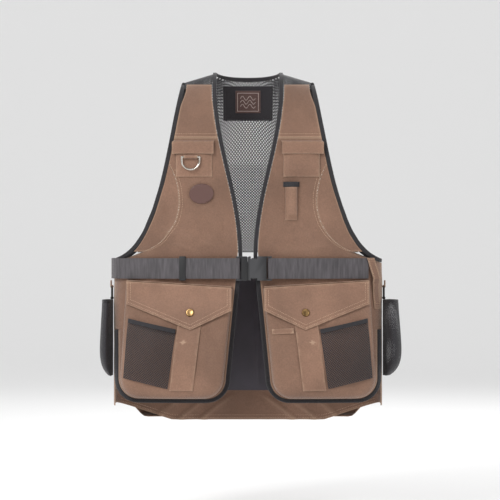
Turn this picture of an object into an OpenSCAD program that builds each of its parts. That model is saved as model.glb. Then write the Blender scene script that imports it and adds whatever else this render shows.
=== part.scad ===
// Game and fishing vest, standing as it is worn. The origin is the middle of the neck seam at the back,
// +X points to the wearer's left, the front faces -Y and +Z is up. Heights are drops below the neck.

/* [Body] */
// Half the width of the body at the side seams
half_w = 258; // [215:1:310]
// Depth of the front, from the side line to the chest
front_b = 100; // [80:1:120]
// Depth of the back, from the side line to the shoulder blades
back_b = 76; // [62:1:92]
// Half the width of the neck opening at the shoulders
neck_half = 60; // [50:1:68]
// Half the width over the shoulder points
shoulder_half = 127; // [115:1:140]
// Drop of the shoulder point
shoulder_drop = 16; // [8:1:24]
// Drop of the armhole's lowest point
arm_drop = 355; // [320:1:362]
// Drop of the front hem
hem_drop = 630; // [610:1:756]
// Length of the back below the front hem
tail_len = 45; // [20:1:60]
// Half the gap between the front edges at the belt
gap_min = 10.5; // [8:0.5:16]
// Thickness of the shell fabric with its facing
cloth_t = 1.6; // [1:0.1:2]
// Thickness of the mesh and of the net
mesh_t = 1.2; // [0.8:0.1:1.6]
// Width of the black binding
bind_w = 7.5; // [6:0.5:10]
// Thickness of the black binding
bind_t = 3.2; // [2.4:0.1:4]
// Gap between cloth edges that meet
seam_gap = 0.3; // [0.2:0.1:0.6]

/* [Belt] */
// Drop of the middle of the belt
belt_drop = 374; // [372:1:380]
// Width of the webbing
web_w = 39; // [32:1:40]
// Thickness of the webbing
web_t = 1.8; // [1.4:0.1:2.2]
// Length of the closed buckle
buckle_len = 68; // [60:1:80]
// Width of the buckle
buckle_w = 46; // [45.5:0.5:52]
// Thickness of the buckle
buckle_t = 12; // [10:0.5:14]
// Place of the buckle's middle, left of the vest's middle
buckle_x = 11.5; // [0:0.5:20]
// Place of the belt slider, right of the vest's middle
slider_x = 124; // [112:1:132]
// Width of the belt slider
slider_w = 12; // [8:0.5:14]

/* [Bellows pockets] */
// Drop of the pocket's mouth
pocket_drop = 412; // [410:1:418]
// Fullness of the pocket at its mouth
mouth_d = 22; // [20:1:26]
// Fullness of the pocket low down
full_d = 44; // [34:1:52]
// Length of the pocket flap at its point
flap_len = 85; // [70:1:92]
// Length of the pocket flap at its sides
flap_side = 44; // [36:1:50]
// Place of the flap's point and of the snap, from the middle
point_x = 109; // [100:1:120]
// Diameter of the snap cap
snap_d = 16; // [12:0.5:18]
// Width of the strip down the pocket
strip_w = 44; // [36:1:46]
// Height of the net pouch
pouch_h = 118; // [95:1:122]
// Fullness of the net pouch
pouch_d = 11; // [8:1:14]

/* [Chest] */
// Drop of the yoke seam
yoke_drop = 126; // [110:1:130]
// Width of the chest flap
chest_w = 76; // [66:1:80]
// Height of the chest flap
chest_h = 26; // [22:1:32]
// Height of the pocket behind the chest flap
chest_pocket_h = 62; // [56:1:66]
// Place of the chest flap's middle, from the vest's middle
chest_x = 101; // [98:1:104]
// Inside width of the D-ring
ring_w = 30; // [25:1:32]
// Wire diameter of the D-ring
ring_wire = 3.8; // [3:0.2:4.4]
// Width of the oval leather patch
patch_w = 46.5; // [38:0.5:50]
// Height of the oval leather patch
patch_h = 38; // [30:0.5:42]

/* [Back] */
// Fullness of the game bag
bag_d = 40; // [30:1:50]
// Drop of the game bag's mouth
bag_drop = 372; // [365:1:400]
// Drop of the lower edge of the dark lining
lining_drop = 617; // [560:1:620]
// Width of the side net bag, front to back
net_w = 104; // [86:1:112]
// Height of the side net bag
net_h = 140; // [120:1:150]
// Fullness of the side net bag
net_d = 34; // [28:1:44]

/* [Hidden] */
$fn = 48;

brown = [0.44, 0.31, 0.25];
black = [0.10, 0.09, 0.10];
navy = [0.18, 0.16, 0.19];

girth_power = 4;      // squareness of the body's outline seen from above
ridge_power = 2.2;    // roundness of the shoulders
curve_drop = 170;     // drop at which the shoulders start to curve in
neck_rise = 54;       // how far the shoulder surface would climb towards the neck's middle
ridge_z = 4;          // height of the shoulder beside the neck
side_turn = 12;       // angle from the side line to the side seam
web_gap = 0.4;        // clearance of the webbing
rim = 0.3;            // clearance between a piece and the cloth under it
curve_gap = 0.9;      // the same along a curved edge
corner_r = 46;        // radius of the front hem's corners

function clamp(v, lo = 0, hi = 1) = max(lo, min(hi, v));
function mix(a, b, t) = a + (b - a) * t;
function ease(t) = t * t * (3 - 2 * t);
function unit(v) = v / norm(v);

// Share of the depth that is left at x, across a body of half width a
function girth(x, a) = pow(1 - pow(min(abs(x) / a, 1), girth_power), 1 / girth_power);
// Height of the shoulder line at x
function ridge(x) = abs(x) < neck_half
    ? ridge_z + neck_rise * (1 - pow(x / neck_half, 2))
    : ridge_z - (abs(x) - neck_half) * (ridge_z + shoulder_drop) / (shoulder_half - neck_half);
function climb(x, z) = clamp((z + curve_drop) / (ridge(x) + curve_drop));
function raw_y(x, z, side, out) = side * ((side < 0 ? front_b : back_b) + out)
    * pow(1 - pow(climb(x, z), ridge_power), 1 / ridge_power) * girth(x, half_w + out);
neck_y = raw_y(0, 0, 1, 0);
// Point of the body seen at x and z, on the front (side -1) or the back (side 1), raised by out
function skin(x, z, side, out = 0) = let (xo = x * (1 + out / half_w))
    [xo, raw_y(xo, z, side, out) - neck_y, z + out * climb(x, z)];
// x of a place near the side line: k runs from 1 at the side seam to 0 at the side line
function side_x(k) = half_w * pow(cos(side_turn * k * k), 2 / girth_power);
seam_x = side_x(1);

// Front edge and armhole
function gap_x(z) = let (turn = clamp((-21 - z) / 330))
    gap_min + (neck_half - gap_min) * (1 + cos(180 * turn)) / 2 + max(0, -z - 353) * 0.1;
function bezier(a, b, c, d, t) = pow(1 - t, 3) * a + 3 * t * pow(1 - t, 2) * b
    + 3 * t * t * (1 - t) * c + pow(t, 3) * d;
function bezier_dir(a, b, c, d, t) = unit(pow(1 - t, 2) * (b - a) + 2 * t * (1 - t) * (c - b)
    + t * t * (d - c));
arm = [[shoulder_half, -shoulder_drop], [shoulder_half + 29, -0.445 * arm_drop],
    [174, -arm_drop + 22], [seam_x, -arm_drop]];
function arm_pt(t) = bezier(arm[0], arm[1], arm[2], arm[3], t);
function arm_dir(t) = bezier_dir(arm[0], arm[1], arm[2], arm[3], t);
function arm_find(z, lo = 0, hi = 1, n = 14) = let (m = (lo + hi) / 2)
    n == 0 ? m : arm_pt(m)[1] > z ? arm_find(z, m, hi, n - 1) : arm_find(z, lo, m, n - 1);
// x of the cloth's edge along the armhole, inside the binding
function arm_x(z) = let (t = arm_find(z), d = arm_dir(t))
    arm_pt(t)[0] - (bind_w + curve_gap) / max(-d[1], 0.35);
// Rounding of a lower corner of radius r that ends at height low
function rounding(z, low, r) = let (q = clamp((low + r - z) / r)) r - r * sqrt(1 - q * q);

// Turned quad as two triangles
function quad(a, b, c, d) = [[a, b, c], [a, c, d]];
// Closed sheet between two grids of points. Seen from outside, rows go down and columns to the right.
module sheet(outer, inner) {
    last = len(outer) - 1;
    w = len(outer[0]);
    n = w * (last + 1);
    polyhedron([for (g = [outer, inner], r = g) each r], concat(
        [for (i = [0:last - 1], j = [0:w - 2])
            each quad(i * w + j, i * w + j + 1, (i + 1) * w + j + 1, (i + 1) * w + j)],
        [for (i = [0:last - 1], j = [0:w - 2])
            each quad(n + i * w + j, n + (i + 1) * w + j, n + (i + 1) * w + j + 1, n + i * w + j + 1)],
        [for (j = [0:w - 2]) each quad(j, n + j, n + j + 1, j + 1)],
        [for (j = [0:w - 2]) let (k = last * w + j) each quad(k, k + 1, n + k + 1, n + k)],
        [for (i = [0:last - 1]) let (k = i * w) each quad(k, k + w, n + k + w, n + k)],
        [for (i = [0:last - 1]) let (k = i * w + w - 1) each quad(k, n + k, n + k + w, k + w)]));
}
// Tape swept through rings of four points
module tape(rings, closed = false) {
    m = len(rings);
    polyhedron([for (r = rings) each r], concat(
        [for (i = [0:m - (closed ? 1 : 2)], j = [0:3]) let (a = i * 4, b = ((i + 1) % m) * 4)
            each quad(a + j, b + j, b + (j + 1) % 4, a + (j + 1) % 4)],
        closed ? [] : concat(quad(0, 1, 2, 3), quad(m * 4 - 1, m * 4 - 2, m * 4 - 3, m * 4 - 4))));
}
// Piece for the wearer's right (side -1) or left (side 1), drawn for the left
module sided(side) {
    if (side < 0) mirror([1, 0, 0]) children();
    else children();
}
// Puts children at a point with their +Z along a direction
module aim(p, dir) {
    d = unit(dir);
    translate(p) rotate([0, acos(d[2]), atan2(d[1], d[0])]) children();
}
function even(n) = [for (i = [0:n]) i / n];
function eased(n) = [for (i = [0:n]) sin(90 * i / n)];

// Cloth laid on the body between the rows zs, from x0(z) to x1(z), given as lists
module cloth(zs, x0, x1, side, low, high, cols) {
    grid = function (out) [for (i = [0:len(zs) - 1]) [for (u = cols)
        skin(mix(x0[i], x1[i], u), zs[i], side, out)]];
    sheet(grid(high), grid(low));
}

// ---- shell ----
seam_drop = yoke_drop + 120;
// Curved seam between the front panel and the panel under the arm
function curve_x(z) = let (reach = z > -seam_drop ? 115 : 100)
    half_w - 33 - 95 * sqrt(1 - pow(clamp((z + seam_drop) / reach, -1, 1), 2));
function panel_out(z) = z > -arm_drop + 10
    ? min(arm_x(z), curve_x(z) - seam_gap)
    : seam_x - seam_gap - inner_round(z) - (z < -vent_drop + 1 ? bind_w + curve_gap : 0);
vent_drop = 492;
panel_low = -hem_drop + bind_w + curve_gap;
function inner_round(z) = rounding(z, panel_low, corner_r - bind_w - curve_gap);
function panel_in(z) = gap_x(max(z, -hem_drop + corner_r)) + bind_w + curve_gap + inner_round(z);
panel_zs = [-yoke_drop, -145, -162, -176, -190, -205, -235, -265, -290, -312, -330, -arm_drop + 13,
    -arm_drop - bind_w - curve_gap, -385, -430, -vent_drop + 1.8, -vent_drop + 0.8, -540,
    -hem_drop + corner_r, -605, -616, panel_low];

module front_panel(side) color(brown) sided(side)
    cloth(panel_zs, [for (z = panel_zs) panel_in(z)], [for (z = panel_zs) panel_out(z)],
        -1, 0, cloth_t, eased(10));

module yoke(side) color(brown) sided(side) {
    top = [for (u = even(5)) let (x = mix(neck_half + bind_w + 2, shoulder_half - bind_w - 2, u))
        [x, ridge(x) - mix(24, 8, u)]];
    zs = [-yoke_drop + seam_gap, -100, -75, -50];
    rows = concat([top], [for (i = [3:-1:0]) [for (u = even(5))
            [mix(panel_in(zs[i]), arm_x(zs[i]), u), zs[i]]]]);
    sheet([for (r = rows) [for (p = r) skin(p[0], p[1], -1, cloth_t)]],
        [for (r = rows) [for (p = r) skin(p[0], p[1], -1, 0)]]);
}

underarm_zs = [-176, -190, -205, -235, -265, -290, -312, -330, -arm_drop + 13];
module underarm_panel(side) color(brown) sided(side)
    cloth(underarm_zs, [for (z = underarm_zs) min(curve_x(z) + seam_gap, arm_x(z) - 0.5)],
        [for (z = underarm_zs) arm_x(z)], -1, 0, cloth_t, even(4));

module shoulder_facing(side) color(black) sided(side) {
    rows = [for (v = even(3)) [for (u = even(4))
        let (x = mix(neck_half + bind_w + 1, shoulder_half - bind_w - 1, u))
        [x, ridge(x) - v * (mix(24, 8, u) - 1)]]];
    sheet([for (r = rows) [for (p = r) skin(p[0], p[1], -1, cloth_t)]],
        [for (r = rows) [for (p = r) skin(p[0], p[1], -1, 0.2)]]);
}

// Height of the neck seam at x, along the back
function neck_z(x) = (ridge_z) * pow(min(1, abs(x) / neck_half), 2.5);
function back_top(x) = let (q = clamp(abs(x) / (neck_half + bind_w)))
    q < 1 ? neck_z(q * neck_half) - (bind_w + 1) * sqrt(1 - q * q) - 1.4 : ridge(x) - 0.5;
module back_mesh() color(black) {
    top = ridge(shoulder_half - bind_w - 1) - 0.5;
    rows = [for (t = even(13)) [for (u = [for (j = [-8:8]) -sin(90 * j / 8)])
        let (z = mix(top, -arm_drop + 8, t), x = u * (arm_x(z) - curve_gap))
        [x, z + pow(1 - t, 3) * (back_top(x) - top)]]];
    sheet([for (r = rows) [for (p = r) skin(p[0], p[1], 1, mesh_t)]],
        [for (r = rows) [for (p = r) skin(p[0], p[1], 1, 0)]]);
}

// Lower edge of the back at x
function tail_z(x) = -hem_drop - tail_len + max(0, abs(x) - 150) * 0.35;
lining_xs = [for (x = [226, 205, 180, 150, 100, 50]) x * half_w / 258];
back_cols = concat([for (k = [1, 0.6, 0.3]) [side_x(k), -1]], [[half_w, 1]],
    [for (k = [0.3, 0.6, 1]) [side_x(k), 1]], [for (x = [half_w * 0.93]) [x, 1]],
    [for (x = lining_xs) [x, 1]], [[0, 1]]);
module back_panel() color(brown) {
    cols = concat(back_cols, [for (i = [len(back_cols) - 2:-1:0]) [-back_cols[i][0], back_cols[i][1]]]);
    rows = [for (v = [0, 0.25, 0.5, 0.75, 1]) [for (c = cols)
        [c[0], mix(-arm_drop - bind_w - curve_gap, tail_z(c[0]), v), c[1]]]];
    sheet([for (r = rows) [for (p = r) skin(p[0], p[1], p[2], cloth_t)]],
        [for (r = rows) [for (p = r) skin(p[0], p[1], p[2], 0)]]);
}
module back_lining() color(navy) {
    xs = concat(lining_xs, [0], [for (i = [len(lining_xs) - 1:-1:0]) -lining_xs[i]]);
    zs = [-arm_drop - bind_w, -480, -lining_drop];
    grid = function (out) [for (z = zs) [for (x = xs) skin(x, z, 1, out)]];
    sheet(grid(-rim), grid(-rim - 1.2));
}
module neck_patch() color(black) {
    zs = [-14, -34, -58, -82];
    cloth(zs, [for (z = zs) 49], [for (z = zs) -49], 1, -3.7, -2.5, even(8));
}
module neck_label() color([0.28, 0.18, 0.16]) {
    zs = [-22, -44, -66];
    cloth(zs, [for (z = zs) 25], [for (z = zs) -25], 1, -5.1, -4.1, even(8));
}

// ---- game bag on the back ----
bag_half = half_w - 30;
function bag_pt(x, z, in) =
    let (w = clamp(abs(x) / (bag_half - in)), low = -hem_drop - tail_len + 6 + in,
         q = clamp((low + 50 - z) / 50),
         d = (bag_d - in) * mix(0.55, 1, ease(clamp((-z - bag_drop) / 130)))
             * pow(1 - pow(w, 8), 1 / 8) * pow(1 - pow(q, 5), 1 / 5))
    skin(x, z, 1, 0) + [0, cloth_t + rim + max(d, 0), 0];
module game_bag() color(brown) {
    vs = eased(9);
    us = [for (j = [-8:8]) -sin(90 * j / 8)];
    grid = function (in) [for (v = vs)
        let (z = mix(-bag_drop, -hem_drop - tail_len + 6 + in, v))
        [for (u = us) bag_pt(u * (bag_half - in - rounding(z, -hem_drop - tail_len + 6, 30)), z, in)]];
    sheet(grid(0), grid(cloth_t));
}
module game_bag_binding() color(black) {
    us = [for (j = [-8:8]) sin(90 * j / 8) * 0.985];
    ring = function (u) let (p = bag_pt(u * bag_half, -bag_drop, 0), y = p[1])
        [[p[0], y + 0.6, p[2] + 0.4], [p[0], y + 0.6, p[2] + 3.4],
         [p[0], y - 2.4, p[2] + 3.4], [p[0], y - 2.4, p[2] + 0.4]];
    tape([for (u = us) ring(u)]);
}

// ---- bindings ----
// One station: the edge point, the direction into the cloth and the side it lies on
function station(x, z, nx, nz, side) = [
    skin(x, z, side, cloth_t + (bind_t - cloth_t) / 2),
    skin(x + nx * bind_w, z + nz * bind_w, side, cloth_t + (bind_t - cloth_t) / 2),
    skin(x + nx * bind_w, z + nz * bind_w, side, -(bind_t - cloth_t) / 2),
    skin(x, z, side, -(bind_t - cloth_t) / 2)];
hem_low = -hem_drop + corner_r;
function around(cx, a, out) = [cx + corner_r * cos(a), hem_low + corner_r * sin(a), -cos(a), -sin(a), -1];
edge_half = concat(
    [for (z = [-vent_drop, -540, hem_low]) [seam_x, z, -1, 0, -1]],
    [for (a = [-18:-18:-90]) around(seam_x - corner_r, a)],
    [for (x = [170, 130]) [x, -hem_drop, 0, 1, -1]],
    [for (a = [-90:-18:-162]) around(gap_x(hem_low) + corner_r, a)],
    [for (z = [hem_low, -520, -460, -400, -353, -320, -285, -250, -215, -180, -145]) [gap_x(z), z, 1, 0, -1]],
    [for (z = [-110, -80, -50, -25, -8, 0]) [gap_x(z), z, 1, 0, -1]],
    [[neck_half, ridge_z, 1, 0, -1]],
    [for (a = [10:10:80]) let (x = neck_half * cos(a)) [x, neck_z(x), cos(a), -sin(a), 1]]);
module front_edge_binding() color(black) {
    path = concat(edge_half, [[0, 0, 0, -1, 1]],
        [for (i = [len(edge_half) - 1:-1:0]) let (p = edge_half[i]) [-p[0], p[1], -p[2], p[3], p[4]]]);
    tape([for (p = path) station(p[0], p[1], p[2], p[3], p[4])]);
}
module armhole_binding(side) color(black) sided(side) {
    ts = [for (i = [0:12]) i / 12];
    down = [for (t = ts) let (p = arm_pt(t), d = arm_dir(t)) [p[0], p[1], d[1], -d[0], -1]];
    under = [for (k = [0.66, 0.33]) [side_x(k), -arm_drop, 0, -1, -1]];
    up = [for (i = [len(down) - 1:-1:1]) let (p = down[i]) [p[0], p[1], p[2], p[3], 1]];
    back = [for (k = [0.33, 0.66]) [side_x(k), -arm_drop, 0, -1, 1]];
    path = concat(down, under, [[half_w, -arm_drop, 0, -1, 1]], back, up);
    tape([for (p = path) station(p[0], p[1], p[2], p[3], p[4])], true);
}

// ---- belt ----
flat_half = 60;         // half the straight stretch that carries the buckle
belt_y = -neck_y - front_b - 11.5;
slope_x = 150;
slope_y = belt_y + 7;
// Middle of the webbing seen from above, up to where it meets the body at x = 200
belt_out = cloth_t + 4;
meet_x = half_w - 58;
meet_y = skin(meet_x, -belt_drop, -1, belt_out)[1];
function webbing(x) = x < flat_half ? belt_y
    : x < slope_x ? mix(belt_y, slope_y, (x - flat_half) / (slope_x - flat_half))
    : mix(slope_y, meet_y, ease(clamp((x - slope_x) / (meet_x - slope_x))));
function offset_path(path, d) = [for (i = [0:len(path) - 1])
    let (a = path[max(0, i - 1)], b = path[min(len(path) - 1, i + 1)], t = unit(b - a))
    path[i] + d * [t[1], -t[0]]];
module ribbon(path, t, h) {
    front = offset_path(path, t / 2);
    back = offset_path(path, -t / 2);
    translate([0, 0, -belt_drop - h / 2]) linear_extrude(h)
        polygon(concat(front, [for (i = [len(back) - 1:-1:0]) back[i]]));
}

bar_d = 5;
male_bar = buckle_x - buckle_len / 2 + bar_d / 2 + 1;
female_bar = buckle_x + buckle_len / 2 - bar_d / 2 - 1;
loop_r = bar_d / 2 + web_gap + web_t / 2;
// Webbing that turns round a bar at bx and runs on to sx, folded back on itself
function folded(bx, sx, dir) = concat(
    [for (x = [sx, flat_half]) [dir * x, webbing(x) - web_t / 2 - web_gap / 2]],
    [[bx + dir * (loop_r + 6), belt_y - web_t / 2 - web_gap / 2]],
    [for (a = [90:-30:-90]) [bx - dir * loop_r * cos(a), belt_y - loop_r * sin(a)]],
    [[bx + dir * (loop_r + 6), belt_y + web_t / 2 + web_gap / 2]],
    [for (x = [flat_half, sx]) [dir * x, webbing(x) + web_t / 2 + web_gap / 2]]);
// The webbing from the side (share u of the way out) to the straight stretch, on the wearer's left
function webbing_out(us) = concat(
    [for (u = us) let (p = skin(mix(meet_x, seam_x, u), -belt_drop, -1, belt_out)) [p[0], p[1] - web_t / 2]],
    [for (i = [3:-1:1]) let (x = mix(slope_x, meet_x, i / 4)) [x, webbing(x) - (web_t + web_gap) / 2]]);
module belt_strap_r() color(black) {
    behind = [for (k = [0.6, 0.3, 0]) let (p = skin(side_x(k), -belt_drop, 1, belt_out - k * 3.3))
        [-p[0], p[1]]];
    beside = [for (k = [0.25:0.25:0.75]) let (p = skin(side_x(k), -belt_drop, -1, belt_out))
        [-p[0], p[1]]];
    far = [for (p = webbing_out([1, 0.92, 0.82, 0.7, 0.55, 0.4, 0.2, 0])) [-p[0], p[1]]];
    ribbon(concat(behind, beside, far, folded(male_bar, slider_x + 26, -1)), web_t, web_w);
}
module belt_strap_l() color(black)
    ribbon(concat(webbing_out([0.45, 0.3, 0.15, 0]), [[slope_x, webbing(slope_x) - (web_t + web_gap) / 2]],
        folded(female_bar, 82, 1)), web_t, web_w);

// Flat plate of length l along X, height h along Z and thickness t along Y, with round corners
module plate(l, h, t, r) rotate([90, 0, 0]) translate([0, 0, -t / 2]) linear_extrude(t) {
    square([l - 2 * r, h], center = true);
    square([l, h - 2 * r], center = true);
    for (x = [-1, 1], z = [-1, 1]) translate([x * (l / 2 - r), z * (h / 2 - r)]) circle(r);
}
module at_belt(x) translate([x, belt_y, -belt_drop]) children();

joint_x = buckle_x - 12;             // where the two halves of the buckle meet
arm_w = (buckle_w - web_w) / 2 - 0.7;  // width of a frame arm beside the webbing
prong_len = 25;
module buckle_female() color(black) {
    x1 = female_bar + bar_d / 2 + 1;
    body_end = female_bar - loop_r - web_t - 1;
    difference() {
        union() {
            at_belt((joint_x + 0.3 + body_end) / 2) plate(body_end - joint_x - 0.3, buckle_w, buckle_t, 3);
            for (s = [-1, 1]) at_belt((body_end + x1) / 2 - 1) translate([0, 0, s * (buckle_w - arm_w) / 2])
                cube([x1 - body_end + 2, bar_d + 1, arm_w], center = true);
        }
        at_belt(joint_x + 13) cube([28, 7, buckle_w - 9], center = true);
        for (s = [-1, 1]) at_belt(joint_x + 12) translate([0, 0, s * buckle_w / 2])
            cube([12, buckle_t + 2, 9.5], center = true);
    }
    at_belt(female_bar) cylinder(d = bar_d, h = buckle_w - 2 * arm_w, center = true);
}
module buckle_male() color(black) {
    x0 = male_bar - bar_d / 2 - 1;
    body_start = male_bar + loop_r + web_t + 1;
    at_belt((body_start + joint_x) / 2) plate(joint_x - body_start, buckle_w, buckle_t - 3, 2.5);
    for (s = [-1, 1]) at_belt((body_start + x0) / 2 + 1) translate([0, 0, s * (buckle_w - arm_w) / 2])
        cube([body_start - x0 + 2, bar_d + 1, arm_w], center = true);
    at_belt(male_bar) cylinder(d = bar_d, h = buckle_w - 2 * arm_w, center = true);
    at_belt(joint_x + 10) cube([20.4, 5.6, 5], center = true);
}
module buckle_prongs() color(black) for (s = [-1, 1]) {
    at_belt(joint_x + prong_len / 2 + 0.1) translate([0, 0, s * 12.5])
        cube([prong_len - 0.2, 6, 5.5], center = true);
    at_belt(joint_x + 12) translate([0, 0, s * 17.5]) cube([9.5, 6, 4.6], center = true);
}
module belt_slider() color(black) {
    y = webbing(slider_x);
    tilt = atan2(slope_y - belt_y, slope_x - flat_half);
    inner_t = 2 * web_t + 3 * web_gap;
    translate([-slider_x, y, -belt_drop]) rotate([0, 0, -tilt]) difference() {
        plate(slider_w, web_w + 7, inner_t + 3.2, 1.2);
        cube([slider_w + 2, inner_t, web_w + 1.2], center = true);
    }
}
loop_w = 13;
module belt_loop() color(brown) {
    // drop below the belt's middle, place of the inner edge before the side seam, height over the shell
    stops = [[web_w / 2 + 0.5, 36, 6], [0, 30, 6], [-web_w / 2, 24, 6], [-web_w / 2 - 9, 21.5, 2.2],
        [-web_w / 2 - 30, 19, rim], [-web_w / 2 - 58, 16, rim]];
    grid = function (up) [for (s = stops) [for (u = even(3))
        skin(seam_x - s[1] + u * loop_w, -belt_drop + s[0], -1, cloth_t + s[2] + 0.3 + up)]];
    sheet(grid(1.4), grid(0));
}

// ---- bellows pockets ----
pocket_low = -hem_drop + 9;
function pocket_out(z) =
    mix(half_w - 26, seam_x - bind_w - 2, clamp((-z - pocket_drop) / (hem_drop - pocket_drop)));
chord_a = [40, raw_y(40, -450, -1, 0) - neck_y];
chord_b = [half_w - 23, raw_y(half_w - 23, -450, -1, 0) - neck_y];
// Plane behind the pocket, as a straight line across the front
function chord_y(x) = mix(chord_a[1], chord_b[1], (x - chord_a[0]) / (chord_b[0] - chord_a[0]));
function pocket_in(z) = gap_x(max(z, pocket_low + 40)) + bind_w + 5;
function pocket_w(x, z) = 2 * (x - pocket_in(z)) / (pocket_out(z) - pocket_in(z)) - 1;
// Height of the pocket's mouth at x: the mouth rises towards the side
function mouth_z(x) = -pocket_drop + 12 * (x - 40) / 200;
function fullness(z) = mix(mouth_d, full_d, ease(clamp((-z - pocket_drop) / 115)));
function face_y(x, z) = chord_y(x) - fullness(z) - 4 * (1 - pow(clamp(pocket_w(x, z), -1, 1), 2))
    * clamp((-z - pocket_drop) / 115);
function body_y(x, z) = raw_y(x, z, -1, cloth_t + curve_gap) - neck_y;
// y of the pocket's outside at x and z, set in by a wall
function pocket_y(x, z, in = 0) =
    let (low = pocket_low + in, q = clamp((low + 55 - z) / 55),
         half = (pocket_out(z) - pocket_in(z)) / 2, w = clamp(abs(pocket_w(x, z)) * half / (half - in)),
         back = body_y(x, z))
    back + min(0, face_y(x, z) + in - back) * pow(1 - pow(w, 8), 1 / 8) * pow(1 - pow(q, 5), 1 / 5);
module pocket(side) color(brown) sided(side) {
    vs = eased(11);
    us = [for (j = [-6:6]) sin(15 * j)];
    grid = function (in) [for (v = vs) [for (u = us)
        let (z0 = mix(-pocket_drop, pocket_low + in, v), r = rounding(z0, pocket_low, 40) + in,
             x = mix(pocket_in(z0) + r, pocket_out(z0) - r, (u + 1) / 2),
             z = z0 + (mouth_z(x) + pocket_drop) * (1 - v) * (1 - v))
        [x, pocket_y(x, z, in), z]]];
    sheet(grid(0), grid(cloth_t));
}
// Layer on the pocket's face, raised by e(u, v), between the corners of an outline (x at the top and low
// down, z at the inner and outer end of the top and foot)
module patch(xt, xf, zt, zf, e, t, nu, nv) {
    grid = function (up) [for (v = even(nv)) [for (u = even(nu))
        let (x = mix(mix(xt[0], xt[1], u), mix(xf[0], xf[1], u), v),
             z = mix(mix(zt[0], zt[1], u), mix(zf[0], zf[1], u), v))
        [x, pocket_y(x, z) - e(u, v) - up, z]]];
    sheet(grid(t), grid(0));
}
pouch_foot = pocket_low + 20;
pouch_in = point_x + strip_w / 2 + 5;
pouch_out = half_w - 31;
function pouch_top(x) = pouch_foot + pouch_h + 20 * (x - pouch_in) / (pouch_out - pouch_in) - 6;
function swell(u, v) = 0.9 + pouch_d * pow(sin(180 * clamp(u, 0.001, 0.999)), 0.7) * (1 - 0.75 * pow(v, 4));
module net_pouch(side) color(black) sided(side)
    patch([pouch_in, pouch_out], [pouch_in + 16, pouch_out + 9],
        [pouch_top(pouch_in), pouch_top(pouch_out)], [pouch_foot, pouch_foot + 20],
        function (u, v) swell(u, v), mesh_t, 10, 7);
module net_pouch_bindings() color(black) for (side = [-1, 1]) sided(side)
    patch([pouch_in, pouch_out], [pouch_in + 1, pouch_out + 0.5],
        [pouch_top(pouch_in) + 0.5, pouch_top(pouch_out) + 0.5],
        [pouch_top(pouch_in) - bind_w, pouch_top(pouch_out) - bind_w],
        function (u, v) swell(u, v * 0.06) + mesh_t + rim, mesh_t, 10, 1);
module pocket_strips() color(brown) for (side = [-1, 1]) sided(side)
    patch([point_x - strip_w / 2, point_x + strip_w / 2],
        [point_x - strip_w / 2 + 17, point_x + strip_w / 2 + 17],
        [-pocket_drop - 56, -pocket_drop - 54], [pocket_low + 16, pocket_low + 16],
        function (u, v) 0.8, 1.2, 3, 6);
module pocket_welt() color(black)
    patch([45, 86], [46, 87], [-488, -486], [-498, -496], function (u, v) 0.8, 1.4, 4, 1);

// ---- pocket flaps ----
flap_in = 31;
flap_out = half_w - 27;
flap_gap = 3.4;          // room for the snap's stud under the flap
function hinge_z(x) = mouth_z(x) + 3;
function flap_y(x, z) = chord_y(x) - fullness(z) - 4 * (1 - pow(clamp(pocket_w(x, z), -1, 1), 2))
    * clamp((-z - pocket_drop) / 115) - flap_gap;
function flap_foot(x) = x < point_x
    ? mix(hinge_z(flap_in) - flap_side, hinge_z(point_x) - flap_len, (x - flap_in) / (point_x - flap_in))
    : mix(hinge_z(point_x) - flap_len, hinge_z(flap_out) - flap_side, (x - point_x) / (flap_out - point_x));
flap_xs = concat([for (u = [0, 0.33, 0.66]) mix(flap_in, point_x, u)],
    [for (u = [0, 0.25, 0.5, 0.75, 1]) mix(point_x, flap_out, u)]);
module pocket_flap(side) color(brown) sided(side) {
    grid = function (up) [for (v = even(7)) [for (x = flap_xs)
        let (z = mix(hinge_z(x) - 0.6, flap_foot(x), v)) [x, flap_y(x, z) - up, z]]];
    sheet(grid(cloth_t), grid(0));
}
module pocket_hinge_strip(side) color(brown) sided(side) {
    grid = function (up) [for (v = even(2)) [for (x = flap_xs)
        let (z = hinge_z(x) + 0.2 + up) [x, mix(body_y(x, z), flap_y(x, z) - cloth_t / 2 + 1.2, v), z]]];
    sheet(grid(1.2), grid(0));
}
snap_z = hinge_z(point_x) - flap_len + 32;
module on_flap(x, z, out) {
    slope = (flap_y(x, z + 2) - flap_y(x, z - 2)) / 4;
    yaw = (flap_y(x + 2, z) - flap_y(x - 2, z)) / 4;
    aim([x, flap_y(x, z), z] + out * unit([yaw, -1, slope]), [yaw, -1, slope]) children();
}
module snap_caps(side) color([0.55, 0.43, 0.28]) sided(side)
    on_flap(point_x, snap_z, cloth_t + rim + 0.1) difference() {
        cylinder(d1 = snap_d, d2 = snap_d - 2.4, h = 2.2);
        translate([0, 0, 1.7]) cylinder(d = snap_d - 6, h = 1);
    }
module snap_studs() color([0.55, 0.43, 0.28]) for (side = [-1, 1]) sided(side)
    on_flap(point_x, snap_z, -flap_gap + 0.5) {
        cylinder(d = snap_d - 4, h = 1);
        cylinder(d = 6, h = 2.5);
    }

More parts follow.
